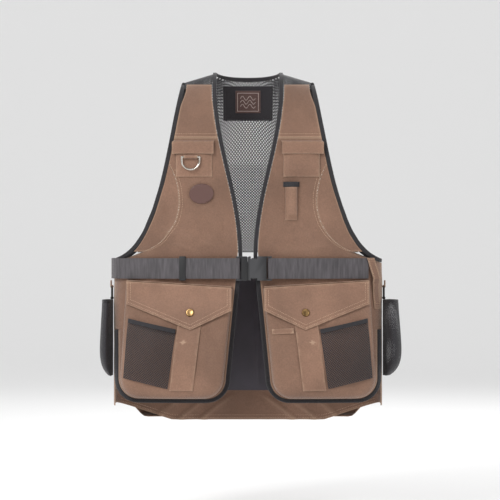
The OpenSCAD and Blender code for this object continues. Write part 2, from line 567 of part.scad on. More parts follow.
// ---- chest ----
chest_top = -yoke_drop - 5;
chest_swell = 5.2;
chest_wall = 1.2;
module chest_pocket(side) color(brown) sided(side) {
    grid = function (up) [for (v = even(4)) [for (u = even(8))
        skin(chest_x + (u - 0.5) * (chest_w - 8), chest_top - 7 - v * chest_pocket_h, -1, cloth_t + rim + up
            + chest_swell * pow(sin(180 * clamp(u, 0.001, 0.999)), 0.4) * pow(1 - v * v * v, 0.5))]];
    sheet(grid(chest_wall), grid(0));
}
chest_flap_out = cloth_t + 2 * rim + chest_swell + chest_wall;
module chest_flap(side) color(brown) sided(side) {
    grid = function (up) [for (v = even(5)) [for (u = even(4))
        skin(chest_x + (u - 0.5) * chest_w, chest_top - v * chest_h, -1,
            mix(cloth_t + rim, chest_flap_out, ease(clamp(v * 5))) + up)]];
    sheet(grid(1.4), grid(0));
}

// Ring of wire with a straight bar on top, hung on the X axis: half its inside width is a, and its
// arms run straight down before they turn
module wire_ring(a, wire, arm_len) {
    r = a + wire / 2;
    rotate([0, 90, 0]) cylinder(d = wire, h = 2 * r, center = true);
    for (s = [-1, 1]) translate([s * r, 0, 0]) {
        sphere(d = wire);
        translate([0, 0, -arm_len]) cylinder(d = wire, h = arm_len);
    }
    translate([0, 0, -arm_len]) rotate([90, 0, 0]) rotate([0, 0, 180])
        rotate_extrude(angle = 180) translate([r, 0]) circle(d = wire);
}
// Tape folded round a bar on the X axis and sewn to a face at -y, rise above the bar
module tape_tab(width, wire, t, rise, back)
    translate([-width / 2, 0, 0]) rotate([90, 0, 90]) linear_extrude(width) difference() {
        union() {
            circle(d = wire + 2 * ring_gap + 2 * t);
            translate([back - t - wire / 2 - ring_gap, 0]) square([t + 1, rise]);
        }
        circle(d = wire + 2 * ring_gap);
    }
ring_gap = 0.1;
tab_t = 1.3;
ring_p = let (z = chest_top - chest_h - 6, p = skin(-105, z, -1, chest_flap_out + 0.2))
    p - [0, tab_t + ring_gap + ring_wire / 2, 0];
module d_ring_tab() color(black) translate(ring_p) mirror([0, 1, 0])
    tape_tab(ring_w - 4, ring_wire, tab_t, 0.01, 0);
module d_ring() color("silver") translate(ring_p) wire_ring(ring_w / 2, ring_wire, 7);

patch_p = [-87.4, -232];
module leather_patch() color([0.36, 0.22, 0.18]) {
    p = skin(patch_p[0], patch_p[1], -1, cloth_t + 0.9);
    yaw = (skin(patch_p[0] + 5, patch_p[1], -1)[1] - skin(patch_p[0] - 5, patch_p[1], -1)[1]) / 10;
    aim(p, [yaw, -1, 0]) rotate([0, 0, 6]) linear_extrude(1.8)
        polygon([for (a = [0:10:350]) [patch_h / 2 * cos(a), patch_w / 2 * sin(a)]]);
}
pen_x = 81.5;
pen_w = 22;
pen_top = -219.5;
pen_len = 63;
module pen_holder() color(brown) {
    grid = function (up) [for (v = even(5)) [for (u = even(8))
        skin(pen_x + (u - 0.5) * pen_w, pen_top - v * pen_len, -1, cloth_t + rim + up
            + 9 * pow(sin(180 * clamp(u, 0.001, 0.999)), 0.5) * pow(1 - pow(v, 4), 0.5))]];
    sheet(grid(1.4), grid(0));
}
module pen_elastic() color(black) {
    grid = function (up) [for (v = even(1)) [for (u = even(10))
        skin(pen_x + (u - 0.5) * (pen_w + 8), pen_top + 10 - v * 9.6, -1, cloth_t + rim + up
            + 9.5 * pow(sin(180 * clamp(u * 1.3 - 0.15, 0.001, 0.999)), 0.5))]];
    sheet(grid(1.2), grid(0));
}

// ---- net bags at the sides ----
net_y = (skin(side_x(1), -500, -1)[1] + skin(half_w, -500, 1)[1]) / 2 - 6;
hook_z = -belt_drop - web_w / 2 - 16;
hook_a = 7;
hook_wire = 3;
hook_h = 22;
hook_x = half_w + cloth_t + rim + tab_t + ring_gap + hook_wire / 2;
net_x = hook_x - hook_wire / 2 - 0.4;
net_top = hook_z - hook_h - 9;
// Bag with walls between outer and inner rings of points, closed at the foot
module cup(outer, inner) {
    m = len(outer) - 1;
    w = len(outer[0]);
    n = w * (m + 1);
    polyhedron([for (g = [outer, inner], r = g) each r], concat(
        [for (i = [0:m - 1], j = [0:w - 1]) let (k = (j + 1) % w)
            each quad(i * w + j, i * w + k, (i + 1) * w + k, (i + 1) * w + j)],
        [for (i = [0:m - 1], j = [0:w - 1]) let (k = (j + 1) % w)
            each quad(n + i * w + j, n + (i + 1) * w + j, n + (i + 1) * w + k, n + i * w + k)],
        [for (j = [0:w - 1]) let (k = (j + 1) % w) each quad(j, n + j, n + k, k)],
        [for (j = [1:w - 2]) [m * w, m * w + j, m * w + j + 1]],
        [for (j = [1:w - 2]) [n + m * w, n + m * w + j + 1, n + m * w + j]]));
}
// The side that faces the vest hangs plumb below the hook
function net_ring(d, v, in) =
    let (f = 1 - 0.3 * pow(abs(v - 0.45) / 0.55, 3), low = pow(1 - pow(v * 0.97, 9), 0.5),
         rx = d / 2 * mix(0.75, f, v) * low, ry = net_w / 2 * f * low)
    [for (a = [0:24:336]) [net_x + rx + (rx - in) * cos(a), net_y + (ry - in) * sin(a),
        net_top - v * (net_h - in)]];
function net_fill(side) = net_d + side * 6;
module net_bag(side) color(black) sided(side) {
    vs = [0, 0.2, 0.4, 0.6, 0.8, 0.92, 1];
    cup([for (v = vs) net_ring(net_fill(side), v, 0)], [for (v = vs) net_ring(net_fill(side), v, mesh_t)]);
}
module net_rim(side) color(black) sided(side) {
    ring = net_ring(net_fill(side), 0, 0);
    mid = [net_x + net_fill(side) * 0.35, net_y, 0];
    tape([for (i = [len(ring) - 1:-1:0]) let (p = ring[i], out = unit([p[0] - mid[0], p[1] - mid[1], 0])) [
        p - out * 1.6 + [0, 0, 0.3], p + [0, 0, 0.3], p + [0, 0, 5.5], p - out * 1.6 + [0, 0, 5.5]]], true);
    translate([hook_x, net_y, hook_z - hook_h]) rotate([90, 0, 0]) difference() {
        cylinder(d = hook_wire + 2 * ring_gap + 2 * tab_t, h = 2 * hook_a - 2, center = true);
        cylinder(d = hook_wire + 2 * ring_gap, h = 2 * hook_a, center = true);
    }
}
module bag_hook(side) color("silver") sided(side) translate([hook_x, net_y, hook_z]) {
    for (z = [0, -hook_h]) translate([0, 0, z]) rotate([90, 0, 0])
        cylinder(d = hook_wire, h = 2 * hook_a + hook_wire, center = true);
    for (s = [-1, 1]) translate([0, s * (hook_a + hook_wire / 2), 0]) {
        translate([0, 0, -hook_h]) cylinder(d = hook_wire, h = hook_h);
        for (z = [0, -hook_h]) translate([0, 0, z]) sphere(d = hook_wire);
    }
}
module bag_tabs() color(black) for (side = [-1, 1]) sided(side)
    translate([hook_x, net_y, hook_z]) rotate([0, 0, 90]) tape_tab(2 * hook_a - 2, hook_wire, tab_t, 12, 0);

front_panel(-1);  // front_panel_r
front_panel(1);  // front_panel_l
yoke(-1);  // yoke_r
yoke(1);  // yoke_l
underarm_panel(-1);  // underarm_panel_r
underarm_panel(1);  // underarm_panel_l
shoulder_facing(-1);  // shoulder_facing_r
shoulder_facing(1);  // shoulder_facing_l
back_mesh();
back_panel();
back_lining();
neck_patch();
neck_label();
game_bag();
game_bag_binding();
front_edge_binding();
armhole_binding(-1);  // armhole_binding_r
armhole_binding(1);  // armhole_binding_l
belt_strap_r();
belt_strap_l();
belt_slider();
buckle_male();
buckle_prongs();
buckle_female();
belt_loop();
pocket(-1);  // pocket_r
pocket(1);  // pocket_l
pocket_hinge_strip(-1);  // pocket_hinge_strip_r
pocket_hinge_strip(1);  // pocket_hinge_strip_l
pocket_flap(-1);  // pocket_flap_r
pocket_flap(1);  // pocket_flap_l
snap_caps(-1);  // snap_caps_r
snap_caps(1);  // snap_caps_l
snap_studs();
pocket_strips();
net_pouch(-1);  // net_pouch_r
net_pouch(1);  // net_pouch_l
net_pouch_bindings();
pocket_welt();
chest_pocket(-1);  // chest_pocket_r
chest_pocket(1);  // chest_pocket_l
chest_flap(-1);  // chest_flap_r
chest_flap(1);  // chest_flap_l
d_ring_tab();
d_ring();
leather_patch();
pen_holder();
pen_elastic();
net_bag(-1);  // net_bag_r
net_bag(1);  // net_bag_l
net_rim(-1);  // net_rim_r
net_rim(1);  // net_rim_l
bag_hook(-1);  // bag_hook_r
bag_hook(1);  // bag_hook_l
bag_tabs();
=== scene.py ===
# Game and fishing vest of brown cotton, standing as it is worn. All sizes are in metres, in the frame of
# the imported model: +X to the wearer's left, the front faces -Y, the origin is the neck seam at the back.
import math

import bmesh
import bpy
import numpy as np
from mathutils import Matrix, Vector


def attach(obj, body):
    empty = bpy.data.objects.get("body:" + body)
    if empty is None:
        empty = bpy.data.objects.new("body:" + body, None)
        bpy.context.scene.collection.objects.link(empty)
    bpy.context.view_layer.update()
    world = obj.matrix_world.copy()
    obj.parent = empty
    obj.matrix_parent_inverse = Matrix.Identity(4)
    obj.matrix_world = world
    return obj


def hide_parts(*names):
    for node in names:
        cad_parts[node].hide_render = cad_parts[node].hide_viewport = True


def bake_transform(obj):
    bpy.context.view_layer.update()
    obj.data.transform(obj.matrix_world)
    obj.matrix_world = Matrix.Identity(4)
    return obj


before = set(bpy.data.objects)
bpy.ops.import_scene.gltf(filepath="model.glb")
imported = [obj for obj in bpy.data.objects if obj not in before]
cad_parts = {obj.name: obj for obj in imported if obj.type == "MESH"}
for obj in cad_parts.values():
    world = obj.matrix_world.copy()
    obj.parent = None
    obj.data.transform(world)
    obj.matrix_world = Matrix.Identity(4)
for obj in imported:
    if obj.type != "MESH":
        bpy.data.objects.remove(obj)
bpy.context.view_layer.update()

# ---- Camera, light and floor ----
# A long lens at belt height straight in front, a broad soft key from the upper left, a fill from the
# right and a pale floor that runs up behind into a wall.
view_distance = 4.0
view_width = 0.95
chest_front = -0.155
camera_data = bpy.data.cameras.new("camera")
camera_data.sensor_width = 36.0
camera_data.lens = camera_data.sensor_width * view_distance / view_width
camera = bpy.data.objects.new("camera", camera_data)
camera.location = (0.004, chest_front - view_distance, -0.339)
camera.rotation_euler = (math.radians(90), 0, 0)
bpy.context.scene.collection.objects.link(camera)
bpy.context.scene.camera = camera
bpy.context.scene.view_settings.view_transform = "Standard"


def area_light(name, place, aim, size, power):
    data = bpy.data.lights.new(name, "AREA")
    data.size = size
    data.energy = power
    light = bpy.data.objects.new(name, data)
    light.location = place
    light.rotation_euler = (Vector(aim) - Vector(place)).to_track_quat("-Z", "Y").to_euler()
    bpy.context.scene.collection.objects.link(light)


area_light("key", (-1.6, -2.4, 1.3), (0, -0.1, -0.35), 1.1, 62)
area_light("fill", (2.2, -2.2, 0.1), (0, -0.1, -0.35), 1.8, 16)
area_light("back_light", (0.5, 2.4, 1.6), (0, 0, -0.3), 1.5, 34)
world = bpy.data.worlds.new("studio")
world.use_nodes = True
world.node_tree.nodes["Background"].inputs["Color"].default_value = (1, 1, 1, 1)
world.node_tree.nodes["Background"].inputs["Strength"].default_value = 0.72
bpy.context.scene.world = world


def select_only(piece):
    bpy.ops.object.select_all(action="DESELECT")
    piece.select_set(True)
    bpy.context.view_layer.objects.active = piece


def apply_modifiers(piece):
    select_only(piece)
    for modifier in list(piece.modifiers):
        bpy.ops.object.modifier_apply(modifier=modifier.name)


def finish_surface(material, base, roughness, sheen=0.0, metallic=0.0):
    """Gives a new material its plain settings and returns its nodes, its links and its shader."""
    made = bpy.data.materials.new(material)
    made.use_nodes = True
    shader = made.node_tree.nodes["Principled BSDF"]
    shader.inputs["Base Color"].default_value = (*base, 1)
    shader.inputs["Roughness"].default_value = roughness
    shader.inputs["Sheen Weight"].default_value = sheen
    shader.inputs["Metallic"].default_value = metallic
    made.diffuse_color = (*base, 1)
    return made, made.node_tree.nodes, made.node_tree.links, shader


floor_z = -0.86
bpy.ops.mesh.primitive_plane_add(size=14, location=(0, 0, floor_z))
floor = bpy.context.object
floor.name = "floor"
bpy.ops.object.mode_set(mode="EDIT")
bpy.ops.mesh.select_all(action="DESELECT")
bpy.ops.object.mode_set(mode="OBJECT")
for edge in floor.data.edges:
    edge.select = all(floor.data.vertices[v].co.y > 6 for v in edge.vertices)
bpy.ops.object.mode_set(mode="EDIT")
bpy.ops.mesh.select_mode(type="EDGE")
bpy.ops.mesh.extrude_region_move(TRANSFORM_OT_translate={"value": (0, 0, 7)})
bpy.ops.object.mode_set(mode="OBJECT")
bend = floor.modifiers.new("sweep", "BEVEL")
bend.width = 3.0
bend.segments = 12
apply_modifiers(floor)
bpy.ops.object.shade_smooth()
floor.data.materials.append(finish_surface("paper_white", (0.93, 0.93, 0.93), 0.9)[0])

# ---- Front panels, under-arm panels and yokes ----
# The shell is one layer of brushed brown cotton canvas. Each front has a yoke over the chest and a
# curved panel under the arm, joined by flat-felled seams with two rows of tan thread.
half_w = 0.258           # half the width at the side seams
front_b = 0.100          # depth of the front
back_b = 0.076           # depth of the back
neck_half = 0.060
shoulder_half = 0.127
shoulder_drop = 0.016
arm_drop = 0.355
hem_drop = 0.630
vent_drop = 0.492        # where the side seam opens
yoke_drop = 0.126
cloth_t = 0.0016
bind_w = 0.0075
curve_gap = 0.0009
corner_r = 0.046
ridge_z = 0.004
neck_rise = 0.054
curve_drop = 0.170


def mix(a, b, t):
    return a + (b - a) * t


def clamp(v, low=0.0, high=1.0):
    return np.minimum(np.maximum(v, low), high)


def ease(t):
    t = clamp(t)
    return t * t * (3 - 2 * t)


def ripple(a, b, length, seed):
    """Soft unevenness between about -1 and 1, in waves of about that length."""
    turn = np.random.RandomState(seed)
    total = 0
    for _ in range(7):
        way, start, rate = turn.uniform(0, 2 * np.pi), turn.uniform(0, 2 * np.pi), turn.uniform(0.65, 1.5)
        total = total + np.sin(2 * np.pi * rate / length * (a * np.cos(way) + b * np.sin(way)) + start)
    return total / 4.5


def girth(x, a):
    return (1 - clamp(np.abs(x) / a) ** 4) ** 0.25


def ridge(x):
    """Height of the shoulder line at x."""
    x = np.abs(x)
    inside = ridge_z + neck_rise * (1 - (x / neck_half) ** 2)
    outside = ridge_z - (x - neck_half) * (ridge_z + shoulder_drop) / (shoulder_half - neck_half)
    return np.where(x < neck_half, inside, outside)


def climb(x, z):
    return clamp((z + curve_drop) / (ridge(x) + curve_drop))


def body_depth(x, z, side, out):
    b = (front_b if side < 0 else back_b) + out
    return side * b * (1 - climb(x, z) ** 2.2) ** (1 / 2.2) * girth(x, half_w + out)


neck_y = float(body_depth(0.0, 0.0, 1, 0.0))

# Soft drag lines of the front: from x, z to x, z, then the width and the height of the fold
drag_lines = [
    (-0.190, -0.290, -0.020, -0.345, 0.011, 0.0030), (-0.165, -0.315, -0.030, -0.362, 0.009, 0.0026),
    (-0.120, -0.262, -0.040, -0.300, 0.016, 0.0016), (0.030, -0.348, 0.165, -0.331, 0.010, 0.0026),
    (0.070, -0.300, 0.200, -0.350, 0.014, 0.0020), (-0.150, -0.205, -0.168, -0.275, 0.012, 0.0018),
    (0.140, -0.200, 0.172, -0.285, 0.012, 0.0018), (0.045, -0.235, 0.062, -0.330, 0.013, 0.0014),
]


def front_fold(x, z):
    """How far the cloth of the front stands out of its smooth shape."""
    height = 0.0009 * ripple(x, z * 0.7, 0.085, 3) + 0.0005 * ripple(x, z, 0.035, 9)
    for x0, z0, x1, z1, width, rise in drag_lines:
        length = math.hypot(x1 - x0, z1 - z0)
        along = ((x - x0) * (x1 - x0) + (z - z0) * (z1 - z0)) / length ** 2
        across = ((x - x0) * (z1 - z0) - (z - z0) * (x1 - x0)) / length
        fade = ease(along * 3) * ease((1 - along) * 3)
        height = height + rise * fade * np.exp(-(across / width) ** 2)
    free = ease((-z - 0.200) / 0.040) * ease((z + 0.480) / 0.06)
    return height * np.maximum(free, 0.25 * ease((-z - 0.02) / 0.05))


def skin(x, z, side, out=0.0):
    """Point on the body at x and z, on the front (side -1) or the back (side 1), raised by out."""
    x, z = np.broadcast_arrays(np.asarray(x, float), np.asarray(z, float))
    if side < 0:
        out = out + front_fold(x, z)
    xo = x * (1 + out / half_w)
    return np.stack([xo, body_depth(xo, z, side, out) - neck_y, z + out * climb(x, z)], -1)


def front_at(out):
    return lambda x, z: skin(x, z, -1, out)


def side_x(k):
    """x near the side line: k runs from 1 at the side seam to 0 at the side line."""
    return half_w * np.cos(np.radians(12) * np.asarray(k) ** 2) ** 0.5


seam_x = float(side_x(1))


def gap_x(z):
    """Half the opening between the front edges at height z."""
    turn = clamp((-0.021 - z) / 0.330)
    return 0.0105 + (neck_half - 0.0105) * (1 + np.cos(np.pi * turn)) / 2 + np.maximum(0, -z - 0.353) * 0.1


arm_ends = np.array([[shoulder_half, -shoulder_drop], [shoulder_half + 0.029, -0.445 * arm_drop],
                     [0.174, -arm_drop + 0.022], [seam_x, -arm_drop]])


def arm_point(t):
    t = np.asarray(t, float)[..., None]
    a, b, c, d = arm_ends
    return (1 - t) ** 3 * a + 3 * t * (1 - t) ** 2 * b + 3 * t * t * (1 - t) * c + t ** 3 * d


def arm_way(t):
    t = np.asarray(t, float)[..., None]
    a, b, c, d = arm_ends
    way = (1 - t) ** 2 * (b - a) + 2 * t * (1 - t) * (c - b) + t * t * (d - c)
    return way / np.linalg.norm(way, axis=-1, keepdims=True)


def arm_x(z):
    """x of the cloth's edge along the armhole, inside the binding."""
    ts = np.linspace(0, 1, 600)
    t = np.interp(-np.asarray(z, float), -arm_point(ts)[:, 1], ts)
    return arm_point(t)[..., 0] - (bind_w + curve_gap) / np.maximum(-arm_way(t)[..., 1], 0.35)


seam_drop = yoke_drop + 0.120


def curve_x(z):
    """x of the curved seam between the front panel and the panel under the arm."""
    reach = np.where(z > -seam_drop, 0.115, 0.100)
    return half_w - 0.033 - 0.095 * np.sqrt(1 - clamp((z + seam_drop) / reach, -1, 1) ** 2)


def rounding(z, low, r):
    q = clamp((low + r - z) / r)
    return r - r * np.sqrt(1 - q * q)


panel_low = -hem_drop + bind_w + curve_gap


def panel_in(z):
    z = np.asarray(z, float)
    return (gap_x(np.maximum(z, -hem_drop + corner_r)) + bind_w + curve_gap
            + rounding(z, panel_low, corner_r - bind_w - curve_gap))


def panel_out(z):
    z = np.asarray(z, float)
    low = (seam_x - 0.0003 - rounding(z, panel_low, corner_r - bind_w - curve_gap)
           - np.where(z < -vent_drop + 0.001, bind_w + curve_gap, 0))
    return np.where(z > -arm_drop + 0.010, np.minimum(arm_x(z), curve_x(z) - 0.0003), low)


def lay_sheet(name, us, vs, place):
    """Adds a grid and moves it to place(u, v), for the rows vs from the top and the columns us. The UV map
    holds the lengths in metres along the middle row and the middle column."""
    us, vs = np.asarray(us, float), np.asarray(vs, float)
    columns, rows = len(us) - 1, len(vs) - 1
    bpy.ops.object.select_all(action="DESELECT")
    bpy.ops.mesh.primitive_grid_add(x_subdivisions=columns, y_subdivisions=rows, size=1)
    piece = bpy.context.object
    piece.name = piece.data.name = name
    mesh = piece.data
    flat = np.empty(len(mesh.vertices) * 3, np.float32)
    mesh.vertices.foreach_get("co", flat)
    flat = flat.reshape(-1, 3)
    u = us[np.rint((flat[:, 0] + 0.5) * columns).astype(int)]
    v = vs[np.rint((0.5 - flat[:, 1]) * rows).astype(int)]
    mesh.vertices.foreach_set("co", place(u, v).astype(np.float32).ravel())
    across = place(us, np.full(len(us), vs[rows // 2]))
    down = place(np.full(len(vs), us[columns // 2]), vs)
    run_u = np.concatenate([[0], np.cumsum(np.linalg.norm(np.diff(across, axis=0), axis=1))])
    run_v = np.concatenate([[0], np.cumsum(np.linalg.norm(np.diff(down, axis=0), axis=1))])
    order_u, order_v = np.argsort(us), np.argsort(vs)
    corner = np.empty(len(mesh.loops), np.int32)
    mesh.loops.foreach_get("vertex_index", corner)
    uv = np.stack([np.interp(u, us[order_u], run_u[order_u]), np.interp(v, vs[order_v], run_v[order_v])], -1)
    mesh.uv_layers[0].data.foreach_set("uv", uv[corner].astype(np.float32).ravel())
    mesh.update()
    return piece


def add_thickness(piece, t, edge=0.0):
    """Gives a sheet its thickness inwards, and rounds its edges."""
    wall = piece.modifiers.new("thickness", "SOLIDIFY")
    wall.thickness = t
    wall.offset = -1
    wall.use_even_offset = False
    if edge:
        turn = piece.modifiers.new("edge", "BEVEL")
        turn.limit_method = "ANGLE"
        turn.angle_limit = math.radians(60)
        turn.width = edge
        turn.segments = 2
    apply_modifiers(piece)
    bpy.ops.object.shade_smooth_by_angle(angle=math.radians(50))


def srgb(r, g, b):
    """Linear colour of an 8-bit one."""
    return tuple(((c / 255 + 0.055) / 1.055) ** 2.4 if c > 10 else c / 255 / 12.92 for c in (r, g, b))


def math_node(nodes, links, kind, a, b=None):
    node = nodes.new("ShaderNodeMath")
    node.operation = kind
    for socket, value in zip(node.inputs, (a, b)):
        if hasattr(value, "links"):
            links.new(value, socket)
        elif value is not None:
            socket.default_value = value
    return node.outputs[0]


def noise_of(nodes, links, scale, detail=3.0, stretch=None):
    """Noise on Object coordinates, which may be stretched along an axis."""
    place = nodes.new("ShaderNodeTexCoord").outputs["Object"]
    if stretch:
        mapping = nodes.new("ShaderNodeMapping")
        mapping.inputs["Scale"].default_value = stretch
        links.new(place, mapping.inputs["Vector"])
        place = mapping.outputs[0]
    noise = nodes.new("ShaderNodeTexNoise")
    noise.inputs["Scale"].default_value = scale
    noise.inputs["Detail"].default_value = detail
    links.new(place, noise.inputs["Vector"])
    return noise.outputs["Fac"]


def shade_between(nodes, links, factor, low, high, dark, light):
    """Colour that goes from dark to light as the factor goes from low to high."""
    ramp = nodes.new("ShaderNodeValToRGB")
    ramp.color_ramp.elements[0].position = low
    ramp.color_ramp.elements[0].color = (*dark, 1)
    ramp.color_ramp.elements[1].position = high
    ramp.color_ramp.elements[1].color = (*light, 1)
    links.new(factor, ramp.inputs["Fac"])
    return ramp.outputs["Color"]


def tint(nodes, links, a, b, factor, kind="MIX"):
    node = nodes.new("ShaderNodeMix")
    node.data_type = "RGBA"
    node.blend_type = kind
    for socket, value in ((node.inputs["Factor"], factor), (node.inputs[6], a), (node.inputs[7], b)):
        if hasattr(value, "links"):
            links.new(value, socket)
        else:
            socket.default_value = value if isinstance(value, float) else (*value, 1)
    return node.outputs[2]


def bump(nodes, links, shader, height, depth, strength=1.0):
    node = nodes.new("ShaderNodeBump")
    node.inputs["Distance"].default_value = depth
    node.inputs["Strength"].default_value = strength
    links.new(height, node.inputs["Height"])
    links.new(node.outputs[0], shader.inputs["Normal"])


def weave_of(nodes, links, pitch_u, pitch_v):
    """Height of a plain weave on the UV map, between 0 and 1."""
    split = nodes.new("ShaderNodeSeparateXYZ")
    uv = nodes.new("ShaderNodeUVMap")
    uv.uv_map = "UVMap"
    links.new(uv.outputs[0], split.inputs[0])
    waves = [math_node(nodes, links, "SINE",
                       math_node(nodes, links, "MULTIPLY", split.outputs[i], 2 * math.pi / p))
             for i, p in enumerate((pitch_u, pitch_v))]
    crossed = math_node(nodes, links, "MULTIPLY", *waves)
    return math_node(nodes, links, "MULTIPLY_ADD", crossed, 0.5)


def cotton(name, base, second_tone):
    """Brushed cotton canvas: mottled by its wax, lighter along folds and edges, partly from wear and partly
    as a painted highlight on the fold ridges.
    """
    made, nodes, links, shader = finish_surface(name, base, 0.72, sheen=0.22)
    shader.inputs["Sheen Roughness"].default_value = 0.45
    shader.inputs["Specular IOR Level"].default_value = 0.32
    dark = tuple(c * 0.84 for c in base)
    light = tuple(c * 1.15 for c in base)
    cloudy = shade_between(nodes, links, noise_of(nodes, links, 11.0, 4.0), 0.34, 0.68, dark, light)
    fine = shade_between(nodes, links, noise_of(nodes, links, 420.0, 2.0), 0.3, 0.7,
                         (0.86, 0.86, 0.86), (1.1, 1.1, 1.1))
    colour = tint(nodes, links, cloudy, fine, 1.0, "MULTIPLY")
    # Lighter on convex folds and edges: partly real wear, partly a painted highlight where light catches the
    # ridges.
    pointed = nodes.new("ShaderNodeNewGeometry").outputs["Pointiness"]
    wear_and_highlight = shade_between(nodes, links, pointed, 0.505, 0.60, (0, 0, 0), (0.55, 0.55, 0.55))
    colour = tint(nodes, links, colour, second_tone, wear_and_highlight)
    links.new(colour, shader.inputs["Base Color"])
    rough = nodes.new("ShaderNodeMapRange")
    rough.inputs["To Min"].default_value = 0.60
    rough.inputs["To Max"].default_value = 0.84
    links.new(noise_of(nodes, links, 60.0), rough.inputs["Value"])
    links.new(rough.outputs[0], shader.inputs["Roughness"])
    height = math_node(nodes, links, "ADD", weave_of(nodes, links, 0.0009, 0.0011),
                       math_node(nodes, links, "MULTIPLY", noise_of(nodes, links, 900.0, 2.0), 0.8))
    bump(nodes, links, shader, height, 0.00022)
    return made


# The second colour is the pale tan of worn edges and of the painted highlight on the fold ridges.
canvas = cotton("cotton_canvas", srgb(126, 96, 79), srgb(176, 148, 124))
tan_thread = finish_surface("tan_thread", srgb(188, 158, 128), 0.62, sheen=0.2)
thread_twist = noise_of(tan_thread[1], tan_thread[2], 1500.0, 1.0)
tan_thread[2].new(shade_between(*tan_thread[1:3], thread_twist, 0.3, 0.7,
                                srgb(158, 126, 98), srgb(205, 178, 150)),
                  tan_thread[3].inputs["Base Color"])
tan_thread = tan_thread[0]

stitch_pitch = 0.0034
stitch_size = (0.00125, 0.00048, 0.00042)
bpy.ops.mesh.primitive_ico_sphere_add(subdivisions=1, radius=1)
one_stitch = bpy.context.object
stitch_points = np.array([v.co[:] for v in one_stitch.data.vertices]) * stitch_size
stitch_faces = np.array([p.vertices[:] for p in one_stitch.data.polygons])
bpy.data.objects.remove(one_stitch)


def run_of(points, steps):
    """Points along a line of a few corners, evenly spaced, with about that many steps a metre."""
    points = np.asarray(points, float)
    run = np.concatenate([[0], np.cumsum(np.linalg.norm(np.diff(points, axis=0), axis=1))])
    at = np.linspace(0, run[-1], max(2, int(run[-1] * steps)))
    return np.stack([np.interp(at, run, points[:, i]) for i in range(points.shape[1])], -1)


def facing(surface, x, z):
    """Outward directions of a surface at x and z."""
    e = 0.0008
    n = np.cross(surface(x + e, z) - surface(x - e, z), surface(x, z + e) - surface(x, z - e))
    return n / np.linalg.norm(n, axis=-1, keepdims=True)


def sew(name, surface, lines, body, thread, outward=1, pitch=stitch_pitch, size=1.0):
    """Rows of stitches along lines of x and z that lie on a surface."""
    spots = []
    for line in lines:
        fine = run_of(line, 2500)
        p = surface(fine[:, 0], fine[:, 1])
        n = facing(surface, fine[:, 0], fine[:, 1]) * outward
        run = np.concatenate([[0], np.cumsum(np.linalg.norm(np.diff(p, axis=0), axis=1))])
        for at in np.arange(pitch / 2, run[-1], pitch):
            i = min(np.searchsorted(run, at), len(p) - 2)
            way = p[i + 1] - p[max(i - 1, 0)]
            way = way / np.linalg.norm(way)
            across = np.cross(n[i], way)
            spots.append((p[i] + n[i] * 0.00012, way, across, n[i]))
    verts = np.concatenate([s[0] + size * (stitch_points[:, :1] * s[1] + stitch_points[:, 1:2] * s[2]
                                           + stitch_points[:, 2:] * s[3]) for s in spots])
    faces = np.concatenate([stitch_faces + i * len(stitch_points) for i in range(len(spots))])
    mesh = bpy.data.meshes.new(name)
    mesh.from_pydata(verts.tolist(), [], faces.tolist())
    mesh.polygons.foreach_set("use_smooth", np.ones(len(faces), bool))
    piece = bpy.data.objects.new(name, mesh)
    bpy.context.scene.collection.objects.link(piece)
    mesh.materials.append(thread)
    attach(piece, body)
    return piece


def across_panel(near, far, side):
    """Columns of a sheet between two edges, given as functions of z. They run to the viewer's right."""
    return lambda u, z: side * mix(near(z), far(z), u if side > 0 else 1 - u)


def finish_off(piece, material, body, node):
    """Gives a piece its material and its body, and has it stand for a CAD node."""
    piece.data.materials.append(material)
    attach(piece, body)
    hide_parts(node)


def cloth_piece(name, node, us, vs, place, body, material, t=cloth_t, edge=0.0):
    """A sheet with thickness and cloth that stands for a CAD node."""
    piece = lay_sheet(name, us, vs, place)
    add_thickness(piece, t, edge)
    finish_off(piece, material, body, node)
    return piece


def rows_between(*stops, step=0.003):
    """Heights from stop to stop, about a step apart."""
    rows = [stops[0]]
    for a, b in zip(stops, stops[1:]):
        rows += list(np.linspace(a, b, max(2, int(abs(a - b) / step) + 1))[1:])
    return np.array(rows)


